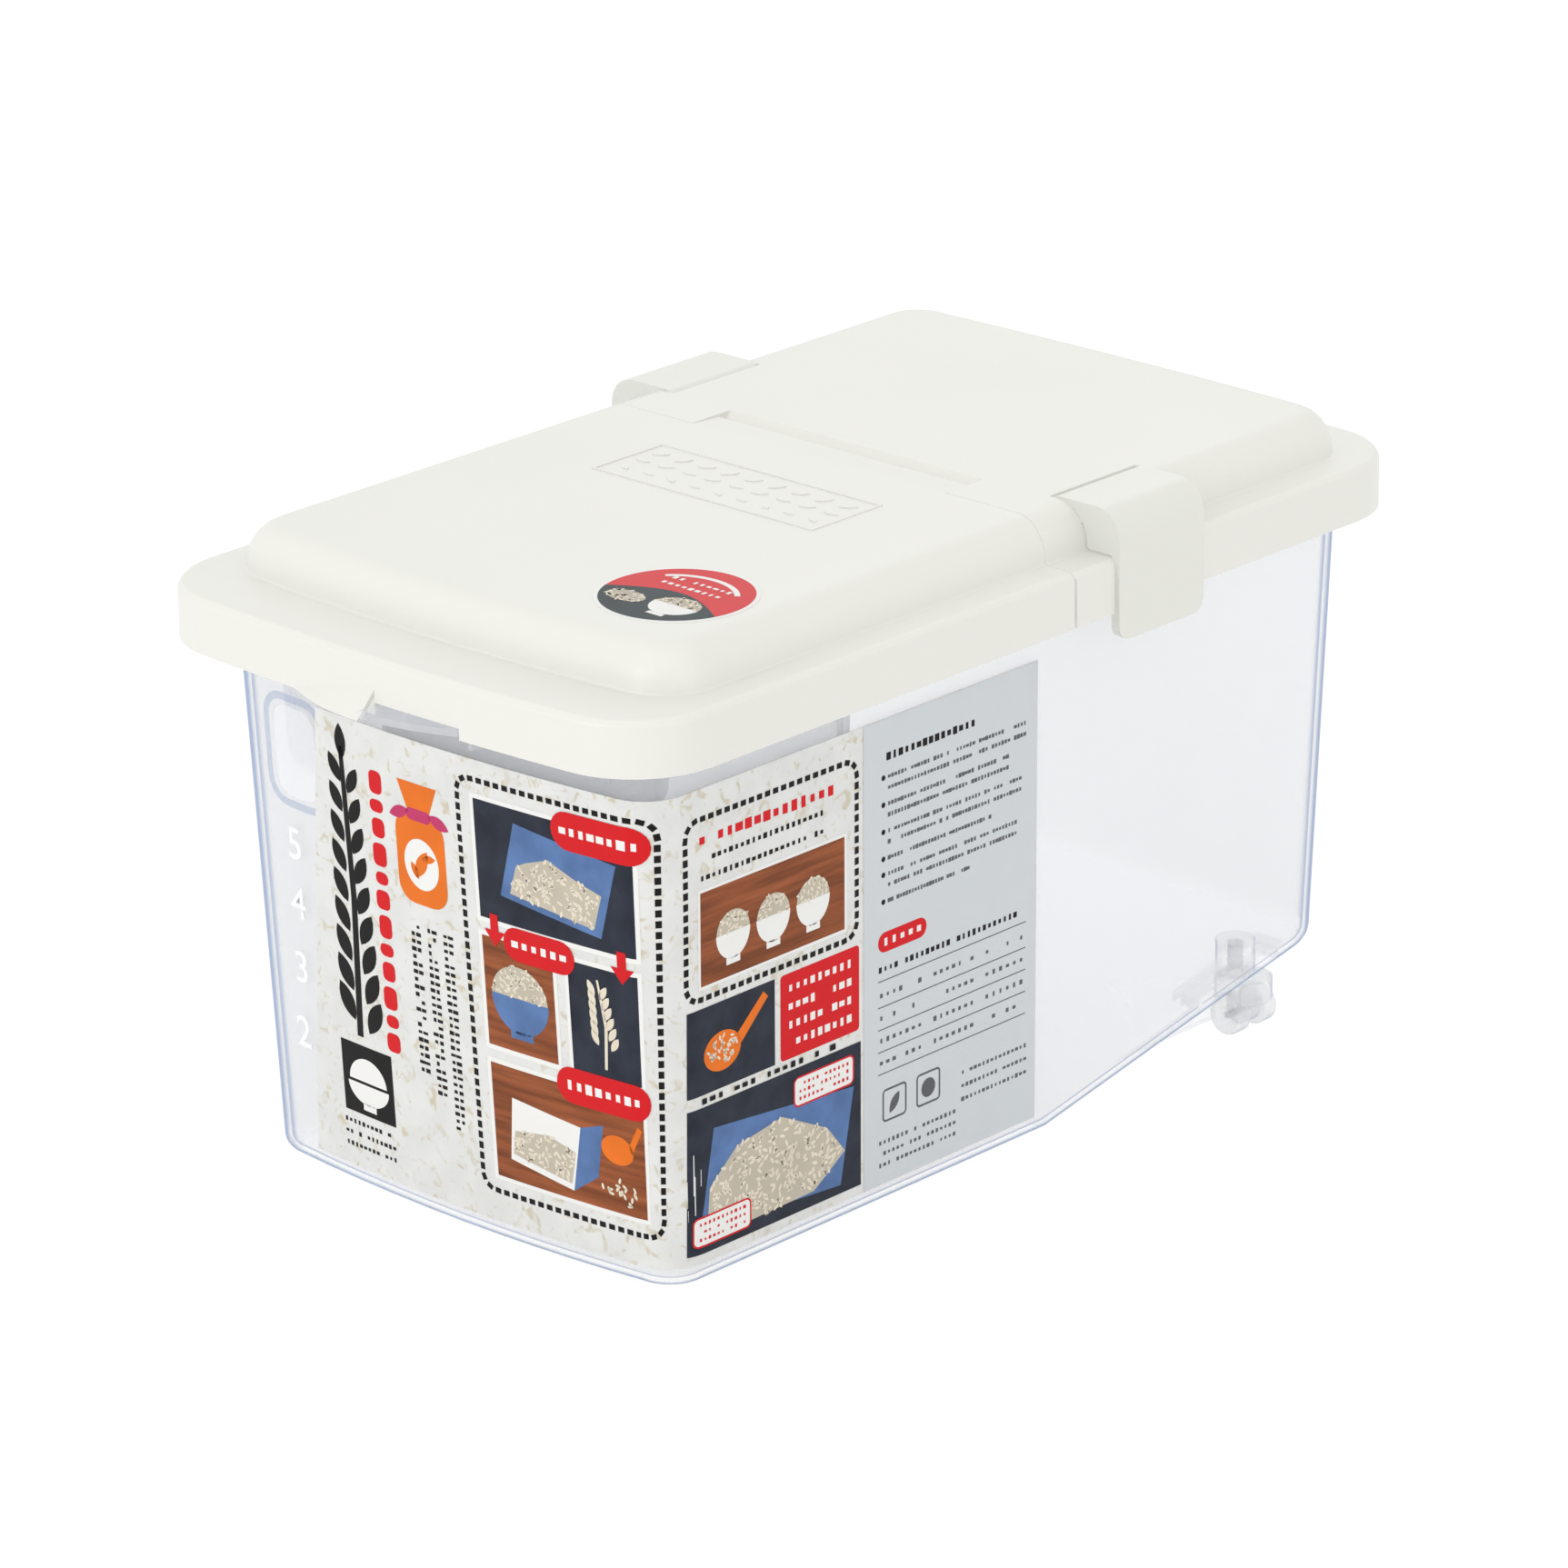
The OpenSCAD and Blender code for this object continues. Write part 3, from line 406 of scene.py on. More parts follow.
def moulding(node, name, body, material, edge=0.0):
    """A finished copy of a moulded part: joined, smoothly shaded and with its edges rounded."""
    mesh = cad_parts[node].data.copy()
    mesh.materials.clear()
    bm = bmesh.new()
    bm.from_mesh(mesh)
    bmesh.ops.remove_doubles(bm, verts=bm.verts, dist=WELD)
    bmesh.ops.dissolve_degenerate(bm, dist=WELD / 3, edges=bm.edges)
    bmesh.ops.dissolve_limit(bm, angle_limit=FLAT_ANGLE, verts=bm.verts, edges=bm.edges)
    for face in bm.faces:
        face.smooth = True
    for line in bm.edges:
        line.smooth = len(line.link_faces) == 2 and line.calc_face_angle(0.0) < SMOOTH_ANGLE
    bm.to_mesh(mesh)
    bm.free()
    obj = link(bpy.data.objects.new(name, mesh))
    if edge > 0:
        bevel = obj.modifiers.new("round", "BEVEL")
        bevel.width = edge
        bevel.segments = 2
        bevel.angle_limit = BEVEL_ANGLE
    obj.modifiers.new("weights", "WEIGHTED_NORMAL").keep_sharp = True
    finish_piece(name, evaluated_mesh(obj), body, material, node)


def surface_of(node):
    """The surface of a part, for ray casts."""
    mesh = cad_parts[node].data
    return BVHTree.FromPolygons([v.co for v in mesh.vertices], [tuple(p.vertices) for p in mesh.polygons])


class Wall:
    """Points on the outside of a wrapped sheet: along its front, round its right corner and along its right side.

    A place on it is the run from the middle of the front towards the right, and the height above the floor."""

    def __init__(self, node, corner_r):
        self.tree = surface_of(node)
        self.r = corner_r
        self.xc = self.tree.ray_cast(Vector((FAR, -0.06, 0.09)), Vector((-1, 0, 0)))[0].x - corner_r
        self.yc = self.tree.ray_cast(Vector((self.xc, -FAR, 0.09)), Vector((0, 1, 0)))[0].y + corner_r
        self.arc = corner_r * math.pi / 2

    def run_of_side(self, y):
        """The run at which the right side reaches that depth."""
        return self.xc + self.arc + y - self.yc

    def __call__(self, run, z, lift):
        if run <= self.xc:
            out, base = Vector((0, -1, 0)), Vector((run, 0, z))
        elif run <= self.xc + self.arc:
            turn = (run - self.xc) / self.r
            out, base = Vector((math.sin(turn), -math.cos(turn), 0)), Vector((self.xc, self.yc, z))
        else:
            out, base = Vector((1, 0, 0)), Vector((0, self.yc + run - self.xc - self.arc, z))
        hit = self.tree.ray_cast(base + out * FAR, -out)[0]
        if hit is None:
            raise RuntimeError(f"nothing to print on at run {run:.4f}, height {z:.4f}")
        return hit + out * (PRINT_GAP + lift)


def wrap_mesh(mesh, place, step):
    """Cuts a flat drawing into strips, narrow ones round a corner, and lays it on the surface that place describes."""
    bm = bmesh.new()
    bm.from_mesh(mesh)
    low = min(v.co.x for v in bm.verts)
    high = max(v.co.x for v in bm.verts)
    corner = (place.xc - MM, place.xc + place.arc + MM) if isinstance(place, Wall) else (high, low)
    fine = step / 4
    for i in range(math.floor(low / fine) + 1, math.ceil(high / fine)):
        x = i * fine
        if i % 4 == 0 or corner[0] < x < corner[1]:
            bmesh.ops.bisect_plane(
                bm, geom=bm.verts[:] + bm.edges[:] + bm.faces[:], plane_co=(x, 0, 0), plane_no=(1, 0, 0))
    for v in bm.verts:
        v.co = place(*v.co)
    for face in bm.faces:
        face.smooth = True
    bm.to_mesh(mesh)
    bm.free()


# ---------------------------------------------------------------- flat shapes in millimetres

def counter_clockwise(points):
    area = sum(a[0] * b[1] - b[0] * a[1] for a, b in zip(points, points[1:] + points[:1]))
    return points if area > 0 else points[::-1]


def shape_mesh(name, shapes):
    """A flat mesh with one face for each shape."""
    mesh = bpy.data.meshes.new(name)
    bm = bmesh.new()
    for points in shapes:
        bm.faces.new([bm.verts.new((x * MM, y * MM, 0)) for x, y in counter_clockwise(list(points))])
    bm.to_mesh(mesh)
    bm.free()
    return mesh


def rect(x0, y0, x1, y1):
    return [(x0, y0), (x1, y0), (x1, y1), (x0, y1)]


def ellipse(cx, cy, rx, ry, start=0.0, end=360.0, steps=36):
    """An ellipse, or an arc of it with both its ends."""
    turns = [math.radians(start + (end - start) * i / steps) for i in range(steps + (end - start < 360))]
    return [(cx + rx * math.cos(a), cy + ry * math.sin(a)) for a in turns]


def rounded(x0, y0, x1, y1, r, steps=5):
    corners = (x1 - r, y0 + r, -90), (x1 - r, y1 - r, 0), (x0 + r, y1 - r, 90), (x0 + r, y0 + r, 180)
    return [p for cx, cy, start in corners for p in ellipse(cx, cy, r, r, start, start + 90, steps)]


def outline(points, width):
    """A closed line of that width round the points, as four-cornered pieces."""
    ahead = points[1:] + points[:1]
    inner = []
    for i, ends in enumerate(zip(points, ahead)):
        a, b, c = Vector(points[i - 1]), Vector(ends[0]), Vector(ends[1])
        along = ((b - a).normalized() + (c - b).normalized()).normalized()
        inner.append(b + Vector((-along.y, along.x)) * width)
    return list(zip(points, ahead, inner[1:] + inner[:1], inner))


def grain_shape(cx, cy, length_, width, angle_, steps=7):
    """A grain with pointed ends."""
    c, s = math.cos(math.radians(angle_)), math.sin(math.radians(angle_))
    points = []
    for side in (1, -1):
        for i in range(steps):
            t = i / steps
            u = (t - 0.5) * length_ * side
            v = math.sin(math.pi * t) ** 0.8 * width / 2 * -side
            points.append((cx + u * c - v * s, cy + u * s + v * c))
    return points


# ---------------------------------------------------------------- geometry nodes

ONE_FACE = {"Vertices X": 2, "Vertices Y": 2}


def repeat_tree(name, inputs, parts, links):
    """A geometry node tree, made on first use, that realizes the instances of its part "put" in one material."""
    if name in bpy.data.node_groups:
        return bpy.data.node_groups[name]
    tree = bpy.data.node_groups.new(name, "GeometryNodeTree")
    tree.interface.new_socket(name="Geometry", in_out="OUTPUT", socket_type="NodeSocketGeometry")
    for label, value in inputs.items():
        kind = "Geometry" if value is None else "Int" if isinstance(value, int) else "Float"
        socket = tree.interface.new_socket(name=label, in_out="INPUT", socket_type=f"NodeSocket{kind}")
        if value is not None:
            socket.default_value = value
    tree.interface.new_socket(name="Material", in_out="INPUT", socket_type="NodeSocketMaterial")
    fill_tree(tree, start_and_end(tree), {
        **parts,
        "put": part("GeometryNodeInstanceOnPoints"),
        "real": part("GeometryNodeRealizeInstances"),
        "paint": part("GeometryNodeSetMaterial"),
    }, links + """
        put.Instances > real.Geometry, real.Geometry > paint.Geometry
        start.Material > paint.Material, paint.Geometry > end.Geometry""")
    return tree


def dashed_frame_tree():
    """Dashes that follow a rectangle with rounded corners."""
    return repeat_tree("Dashed frame", {
        "Width": 0.07, "Height": 0.12, "Corner": 0.004, "Dash": 0.003, "Pitch": 0.0045, "Line": 0.0014,
    }, {
        "box": part("GeometryNodeCurvePrimitiveQuadrilateral"),
        "fillet": part("GeometryNodeFilletCurve", {"Count": 6}, mode="POLY"),
        "points": part("GeometryNodeResampleCurve", mode="LENGTH"),
        "dash": part("GeometryNodeMeshGrid", ONE_FACE),
        "tangent": part("GeometryNodeInputTangent"),
        "turn": part("FunctionNodeAlignRotationToVector", axis="X", pivot_axis="Z"),
    }, """
        start.Width > box.Width, start.Height > box.Height, box.Curve > fillet.Curve, start.Corner > fillet.Radius
        fillet.Curve > points.Curve, start.Pitch > points.Length, start.Dash > dash.Size X, start.Line > dash.Size Y
        tangent.Tangent > turn.Vector, points.Curve > put.Points, dash.Mesh > put.Instance
        turn.Rotation > put.Rotation""")


def fine_marks_tree():
    """Rows of small marks of uneven length with gaps, as fine print looks from afar."""
    return repeat_tree("Fine marks", {
        "Width": 0.05, "Height": 0.02, "Columns": 24, "Rows": 5, "Mark X": 0.001, "Mark Y": 0.001, "Gaps": 0.15,
        "Seed": 1,
    }, {
        "grid": part("GeometryNodeMeshGrid"),
        "points": part("GeometryNodeMeshToPoints"),
        "chance": part("FunctionNodeRandomValue", data_type="BOOLEAN"),
        "cull": part("GeometryNodeDeleteGeometry", domain="POINT"),
        "mark": part("GeometryNodeMeshGrid", ONE_FACE),
        "size": part("FunctionNodeRandomValue", {0: (0.55, 0.6, 1.0), 1: (1.15, 1.0, 1.0)}, data_type="FLOAT_VECTOR"),
    }, """
        start.Width > grid.Size X, start.Height > grid.Size Y, start.Columns > grid.Vertices X
        start.Rows > grid.Vertices Y, grid.Mesh > points.Mesh, start.Gaps > chance.Probability
        start.Seed > chance.Seed, points.Points > cull.Geometry, chance.3 > cull.Selection
        start.Mark X > mark.Size X, start.Mark Y > mark.Size Y, start.Seed > size.Seed
        cull.Geometry > put.Points, mark.Mesh > put.Instance, size.0 > put.Scale""")


def scattered_grains_tree():
    """Rice grains strewn over a flat shape, each turned its own way."""
    return repeat_tree("Scattered grains", {
        "Shape": None, "Density": 300000.0, "Grain Length": 0.003, "Grain Width": 0.0012, "Seed": 1,
    }, {
        "strew": part("GeometryNodeDistributePointsOnFaces", distribute_method="RANDOM"),
        "disc": part("GeometryNodeMeshCircle", {"Vertices": 8, "Radius": 0.5}, fill_type="NGON"),
        "size": part("ShaderNodeCombineXYZ", {"Z": 1.0}),
        "shape": part("GeometryNodeTransform"),
        "spin": part("FunctionNodeRandomValue", {1: (0.0, 0.0, math.pi)}, data_type="FLOAT_VECTOR"),
    }, """
        start.Shape > strew.Mesh, start.Density > strew.Density, start.Seed > strew.Seed
        start.Grain Length > size.X, start.Grain Width > size.Y, disc.Mesh > shape.Geometry
        size.Vector > shape.Scale, start.Seed > spin.Seed, strew.Points > put.Points
        shape.Geometry > put.Instance, spin.0 > put.Rotation""")


def tick_ladder_tree():
    """A column of level ticks, every second one long."""
    return repeat_tree("Tick ladder", {
        "Count": 6, "Pitch": 0.004, "Long": 0.01, "Short": 0.006, "Line": 0.0004,
    }, {
        "step": part("ShaderNodeCombineXYZ"),
        "line": part("GeometryNodeMeshLine"),
        "tick": part("GeometryNodeMeshGrid", {**ONE_FACE, "Size X": 1.0}),
        "left": part("GeometryNodeTransform", {"Translation": (-0.5, 0.0, 0.0)}),
        "index": part("GeometryNodeInputIndex"),
        "half": maths("MODULO", {1: 2.0}),
        "choose": part("GeometryNodeSwitch", input_type="FLOAT"),
        "size": part("ShaderNodeCombineXYZ", {"Y": 1.0, "Z": 1.0}),
    }, """
        start.Pitch > step.Y, start.Count > line.Count, step.Vector > line.Offset, start.Line > tick.Size Y
        tick.Mesh > left.Geometry, index.Index > half.0, half.0 > choose.Switch, start.Short > choose.False
        start.Long > choose.True, choose.Output > size.X, line.Mesh > put.Points, left.Geometry > put.Instance
        size.Vector > put.Scale""")


def grown(name, tree, values, mesh=None):
    """The plain mesh that a geometry node tree makes with these input values."""
    obj = link(bpy.data.objects.new(name, mesh or bpy.data.meshes.new(name)))
    modifier = obj.modifiers.new("build", "NODES")
    modifier.node_group = tree
    for item in tree.interface.items_tree:
        if item.item_type == "SOCKET" and item.in_out == "INPUT" and item.name in values:
            modifier[item.identifier] = values[item.name]
    result = evaluated_mesh(obj)
    if not result.polygons:
        raise RuntimeError(f"{name} came out empty")
    return result


def figure_mesh(text, height, thickness):
    """A figure of that height, flat, centred, with its face up."""
    curve = bpy.data.curves.new(f"figure {text}", "FONT")
    curve.body = text
    curve.size = height * MM / CAP_HEIGHT
    curve.extrude = thickness * MM / 2
    curve.offset = 0.012 * height * MM
    curve.align_x = "CENTER"
    curve.align_y = "CENTER"
    curve.resolution_u = 6
    return evaluated_mesh(link(bpy.data.objects.new(f"figure {text}", curve)))


class Sheet:
    """A surface of one body that takes prints. Drawings on it are flat, in millimetres, in layers counted upwards."""

    def __init__(self, place, body, slot, step=STRIP):
        self.place, self.body, self.slot, self.step = place, body, slot, step
        self.left = 0.0

    def lay(self, name, ink, parts, layer):
        """Joins flat meshes, each moved to its place in the drawing, and lays them on the surface."""
        bm = bmesh.new()
        for mesh, x, y in parts:
            mesh.transform(Matrix.Translation(((self.left + x) * MM, y * MM, LAYER * layer)))
            bm.from_mesh(mesh)
        mesh = bpy.data.meshes.new(name)
        bm.to_mesh(mesh)
        bm.free()
        wrap_mesh(mesh, self.place, self.step)
        finish_piece(name, mesh, self.body, ink)

    def draw(self, name, ink, layer, *shapes):
        """Prints shapes, each a list of points."""
        self.lay(name, ink, [(shape_mesh(name, shapes), 0, 0)], layer)

    def boxed(self, name, tree, ink, layer, boxes, values):
        """Fills boxes, each from left, bottom, right and top, with what a geometry node tree makes."""
        parts = []
        for (x0, y0, x1, y1, *_), more in zip(boxes, values):
            mesh = grown(name, tree, {"Width": (x1 - x0) * MM, "Height": (y1 - y0) * MM, "Material": ink, **more})
            parts.append((mesh, (x0 + x1) / 2, (y0 + y1) / 2))
        self.lay(name, ink, parts, layer)

    def marks(self, name, ink, layer, *boxes):
        """Fine marks in boxes, each with its columns, rows, mark width, mark height, gaps and seed."""
        self.boxed(name, fine_marks_tree(), ink, layer, boxes, [{
            "Columns": columns, "Rows": rows, "Mark X": mark_w * MM, "Mark Y": mark_h * MM, "Gaps": gaps, "Seed": seed,
        } for *_, columns, rows, mark_w, mark_h, gaps, seed in boxes])

    def grains(self, name, ink, layer, seed, shapes, grain=(2.4, 1.0), density=260000.0):
        """Grains of rice strewn over shapes, each grain of that length and width in millimetres."""
        mesh = grown(name, scattered_grains_tree(), {
            "Density": density, "Grain Length": grain[0] * MM, "Grain Width": grain[1] * MM, "Seed": seed,
            "Material": ink}, shape_mesh(name, shapes))
        self.lay(name, ink, [(mesh, 0, 0)], layer)


# ---------------------------------------------------------------- pieces

class RICEBIN_OT_bin(bpy.types.Operator):
    """Finish the translucent bin and set its kilogram scale on the front wall"""
    bl_idname = "ricebin.bin"
    bl_label = "Bin"

    def execute(self, context):
        look = context.scene.rice_bin_plastic
        body = clear_plastic("Milky clear plastic", look.body_colour, look.edge_colour, 0.24, 0.86, roughness=0.35)
        moulding("container", "bin_shell", "bin", body, look.edge_round)
        wall = Wall("container", 0.0145)
        pale = plastic("Raised scale figures", look.scale_colour, 0.35, flow=0.1)
        places = ("5", -62.8, 109.8), ("4", -63.2, 89.8), ("3", -64.2, 67.8), ("2", -65.7, 45.5)
        Sheet(wall, "bin", "clear_body", 0.002).lay(
            "kilogram_figures", pale, [(figure_mesh(text, 10.5, 0.12), x, z) for text, x, z in places], 2)
        sheet = Sheet(wall, "bin", "clear_body")
        frosted = clear_plastic("Frosted panel", look.scale_colour, look.edge_colour, 0.55, 0.9, 0.5)
        sheet.draw("frosted_panel", frosted, 2, rounded(-68.5, 126.5, -49.0, 156.5, 6.0))
        rim = clear_plastic("Panel rim", look.edge_colour, look.edge_colour, 0.4, 0.9, 0.4)
        sheet.draw("frosted_panel_rim", rim, 5 / 3, *outline(rounded(-73.5, 122.5, -44.0, 160.5, 9.0), 2.6))
        return {"FINISHED"}


class RICEBIN_OT_lids(bpy.types.Operator):
    """Finish the flip lid with its raised grains and the fixed rear lid"""
    bl_idname = "ricebin.lids"
    bl_label = "Lids"

    def execute(self, context):
        look = context.scene.rice_bin_plastic
        ivory = plastic(
            "Ivory lid plastic", look.lid_colour, 0.37, flow=0.35, grain=0.5, coat=0.12, shade=0.955, seep=0.88)
        for node, name, body in (
                ("flip_front_lid", "flip_lid_moulding", "front_lid"), ("fixed_rear_lid", "rear_lid_moulding", "bin")):
            moulding(node, name, body, ivory, look.edge_round)
        return {"FINISHED"}


class RICEBIN_OT_clips(bpy.types.Operator):
    """Finish the two side clips"""
    bl_idname = "ricebin.clips"
    bl_label = "Side clips"

    def execute(self, context):
        look = context.scene.rice_bin_plastic
        glossy = plastic("Glossy clip plastic", look.clip_colour, 0.36, grain=0.2, coat=0.35, shade=0.94, seep=0.6)
        for clip in ("left_clip", "right_clip"):
            moulding(clip, f"{clip}_moulding", clip, glossy, look.edge_round * CLIP_ROUND)
        return {"FINISHED"}


class RICEBIN_OT_pocket(bpy.types.Operator):
    """Finish the slide pocket and the measuring cup with its scale"""
    bl_idname = "ricebin.pocket"
    bl_label = "Slide pocket and cup"

    def execute(self, context):
        look = context.scene.rice_bin_plastic
        milky = clear_plastic("Milky pocket plastic", look.pocket_colour, look.pocket_edge_colour, 0.18, 0.7, 0.36)
        moulding("slide_pocket", "pocket_moulding", "pocket", milky, look.edge_round)
        clear = clear_plastic("Clear cup plastic", look.cup_colour, look.edge_colour, 0.16, 0.85, 0.14)
        moulding("rice_cup", "cup_moulding", "cup", clear, look.edge_round)
        ink = print_ink("Cup scale ink", srgb(92, 92, 112), 0.35, 0.1)
        surface = surface_of("rice_cup")

        def cup_side(y, z, lift):
            return surface.ray_cast(Vector((FAR, y, z)), Vector((-1, 0, 0)))[0] + Vector((lift, 0, 0))

        ticks = grown("cup_ticks", tick_ladder_tree(), {
            "Count": 7, "Pitch": 0.00395, "Long": 0.0095, "Short": 0.006, "Line": 0.00045, "Material": ink})
        parts = [(ticks, -101.6, 137.3), (shape_mesh("cup_line", [rect(-0.25, -2.0, 0.25, 30.0)]), -101.4, 133.5)]
        for text, z in (("80", 145.6), ("120", 153.5), ("160", 161.4)):
            parts.append((figure_mesh(text, 3.3, 0.05), -116.4, z))
        Sheet(cup_side, "cup", "clear_cup", 0.004).lay("cup_scale", ink, parts, 8 / 3)
        return {"FINISHED"}


class RICEBIN_OT_casters(bpy.types.Operator):
    """Finish the two swivel casters"""
    bl_idname = "ricebin.casters"
    bl_label = "Casters"

    def execute(self, context):
        look = context.scene.rice_bin_plastic
        grey = clear_plastic(
            "Milky caster plastic", look.caster_colour, look.pocket_edge_colour, 0.36, 0.7, 0.37, seep=0.9)
        steel = material_with("Drawn steel axle", {"Metallic": 1.0}, {
            "surface": part("ShaderNodeGroup", {
                "Color": (0.60, 0.61, 0.63, 1), "Shade Color": (0.45, 0.46, 0.48, 1), "Roughness": 0.28,
            }, node_tree=moulded_surface()),
        }, "surface.Color > shader.Base Color, surface.Roughness > shader.Roughness")
        for side in ("left", "right"):
            caster = f"{side}_caster"
            moulding(f"{caster}_body", f"{caster}_hood", caster, grey, 0.0003)
            moulding(f"{caster}_axle", f"{caster}_pin", caster, steel, 0.0001)
            for end in ("front", "rear"):
                wheel = f"{side}_{end}_wheel"
                moulding(f"{caster}_{end}_wheel", f"{wheel}_disc", wheel, grey, 0.0002)
        return {"FINISHED"}


class RICEBIN_OT_label(bpy.types.Operator):
    """Finish the paper label and draw its plain, unlettered print"""
    bl_idname = "ricebin.label"
    bl_label = "Wrap label"

    def execute(self, context):
        look = context.scene.rice_bin_label
        wall = Wall("wrap_label", look.corner_radius)
        paper = print_ink(
            "Speckled paper", look.paper_colour, 0.5, 0.5, flecks=0.7, fleck_tint=srgb(200, 188, 158), seep=0.5)
        moulding("wrap_label", "label_paper", "bin", paper)
        inks = SimpleNamespace(
            plain=print_ink("Plain grey print", look.plain_colour, 0.42, 0.12),
            white=print_ink("White print", srgb(240, 240, 238), 0.42, 0.1),
            red=print_ink("Red print", look.red_ink, 0.36, 0.2),
            black=print_ink("Black print", look.black_ink, 0.36, 0.2),
            orange=print_ink("Orange print", look.orange_ink, 0.38, 0.35, scaled(look.orange_ink, 0.75)),
            pink=print_ink("Pink print", look.pink_ink, 0.38),
            night=print_ink("Dark print", look.night_colour, 0.36, 0.7, scaled(look.night_colour, 1.9)),
            glass=print_ink("Tray blue print", look.glass_colour, 0.36, 0.7, scaled(look.glass_colour, 1.5)),
            rice=print_ink("Rice print", look.rice_colour, 0.42, 0.5, scaled(look.rice_colour, 0.8)),
            shade=print_ink("Rice shade print", scaled(look.rice_colour, 0.68), 0.42, 0.5),
            wood=wood_print("Table print", look.wood_colour),
            grey=print_ink("Grey print", srgb(96, 98, 104), 0.4, 0.2))
        sheet = Sheet(wall, "bin", "label_paper")
        self.front(sheet, inks, look)
        sheet.left = wall.run_of_side(0.0) / MM
        self.side(sheet, inks, look)
        self.plain_panel(sheet, inks)
        return {"FINISHED"}

    def dashes(self, name, sheet, inks, look, box):
        sheet.boxed(name, dashed_frame_tree(), inks.black, 4 / 3, [box], [{
            "Corner": 0.005, "Dash": look.dash_length, "Pitch": look.dash_pitch, "Line": look.dash_width}])

    def front(self, sheet, inks, look):
        draw, marks, grains = sheet.draw, sheet.marks, sheet.grains
        # an ear of rice in brush strokes down the left edge
        strokes = [[(-38.6, 53), (-35.8, 53), (-34.0, 100), (-35.6, 150), (-37.6, 150), (-36.6, 100)]]
        for i in range(9):
            z = 62 + i * 9.8
            width = 6.2 - 0.2 * i
            strokes.append(grain_shape(-42.0 + 0.25 * i, z + 2, 13.5 - 0.4 * i, width, 118))
            strokes.append(grain_shape(-29.6 - 0.34 * i, z - 1, 13.5 - 0.4 * i, width, 62))
        draw("brush_ear", inks.black, 1, *strokes, grain_shape(-36.4, 151.5, 12, 5.0, 92))
        # a red garland beside it
        beads = []
        z = 52.0
        for i in range(12):
            h = (6.4, 4.2, 7.6)[i % 3]
            beads.append(rounded(-24.6 + 0.4 * (i % 2), z, -18.6, z + h, 1.9, 3))
            z += h + 1.9
        draw("red_garland", inks.red, 1, *beads)
        # a tied sack of rice
        draw("sack", inks.orange, 1,
             rounded(-13.5, 106, 7.5, 136, 6.5), [(-7, 135), (1, 135), (5.5, 146), (-11.5, 146)])
        draw("sack_ribbon", inks.pink, 2, rounded(-8.2, 133.6, 2.2, 137.6, 1.6, 3),
             grain_shape(-11.5, 135, 9, 4, 200), grain_shape(5.5, 135, 9, 4, -20))
        draw("sack_patch", inks.white, 2, ellipse(-3, 119.5, 7.4, 8.4))
        draw("sack_grains", inks.orange, 3, grain_shape(-3, 119.5, 11, 4.6, 60),
             grain_shape(-6, 117, 6, 2.6, 120), grain_shape(0.2, 122, 6, 2.6, 10))
        # columns of fine marks
        columns = ((5.0, 34, 27), (-2.0, 44, 23), (-9.0, 50, 20))
        marks("front_marks", inks.black, 1, *(
            (x, z, x + 2.3, 98, 2, rows, 2.0, 1.45, 0.1, 3 + i) for i, (x, z, rows) in enumerate(columns)))
        # a black tile with a heaped bowl
        draw("bowl_tile", inks.black, 1, rect(-47.0, 26, -23.5, 50))
        draw("tile_bowl", inks.white, 2, ellipse(-35.2, 37.6, 8.6, 8.0, 0, 180, 24),
             ellipse(-35.2, 36.6, 9.4, 7.0, 180, 360, 24), rect(-38.2, 27.8, -32.2, 30.2))
        draw("bowl_brim", inks.black, 3, rect(-45.6, 36.7, -24.9, 37.5))
        marks("tile_marks", inks.black, 1, (-47, 14.5, -25, 22.5, 12, 3, 1.4, 1.6, 0.1, 8))
        # the big dashed frame with its pictures
        self.dashes("front_dashes", sheet, inks, look, (14.5, 17.5, 87.5, 153.5))
        draw("picture_mats", inks.white, 1, rect(19.6, 107.4, 82.4, 149), rect(19.6, 65.4, 50.4, 104.6),
             rect(53.6, 65.4, 82.4, 104.6), rect(19.6, 21.6, 82.4, 62.6))
        draw("dark_pictures", inks.night, 2, rect(21, 109, 81, 147.5), rect(55, 67, 81, 103))
        draw("table_pictures", inks.wood, 2, rect(21, 67, 49, 103), rect(21, 23, 81, 61))
        # a tray of rice on the dark ground
        draw("tray", inks.glass, 3, [(30, 118), (69, 113), (76, 138), (37, 143)])
        heap = [(34, 119.5), (66.5, 115.4), (70, 127), (60, 130), (50, 134), (41, 131), (37, 129)]
        draw("tray_rice_ground", inks.shade, 4, heap)
        grains("tray_rice", inks.rice, 5, 11, [heap])
        # a heaped bowl on the table
        draw("table_bowl", inks.glass, 3, ellipse(35, 85, 11.5, 12, 180, 360, 24), rect(30.5, 71.4, 39.5, 74))
        mound = ellipse(35, 85, 11.2, 10.5, 0, 180, 24)
        draw("bowl_rice_ground", inks.shade, 4, mound)
        grains("bowl_rice", inks.rice, 5, 12, [mound], (2.0, 0.9), 420000.0)
        # an ear of rice on the dark ground
        ear = [[(67.2, 70), (68.2, 70), (69.2, 84), (66.6, 99), (65.8, 99), (68.0, 84)]]
        for i in range(6):
            ear.append(grain_shape(64.2 - 0.1 * i, 80 + 3.2 * i, 5.6, 2.4, 115))
            ear.append(grain_shape(71.6 - 0.7 * i, 79 + 3.2 * i, 5.6, 2.4, 58))
        draw("pale_ear", inks.rice, 3, *ear)
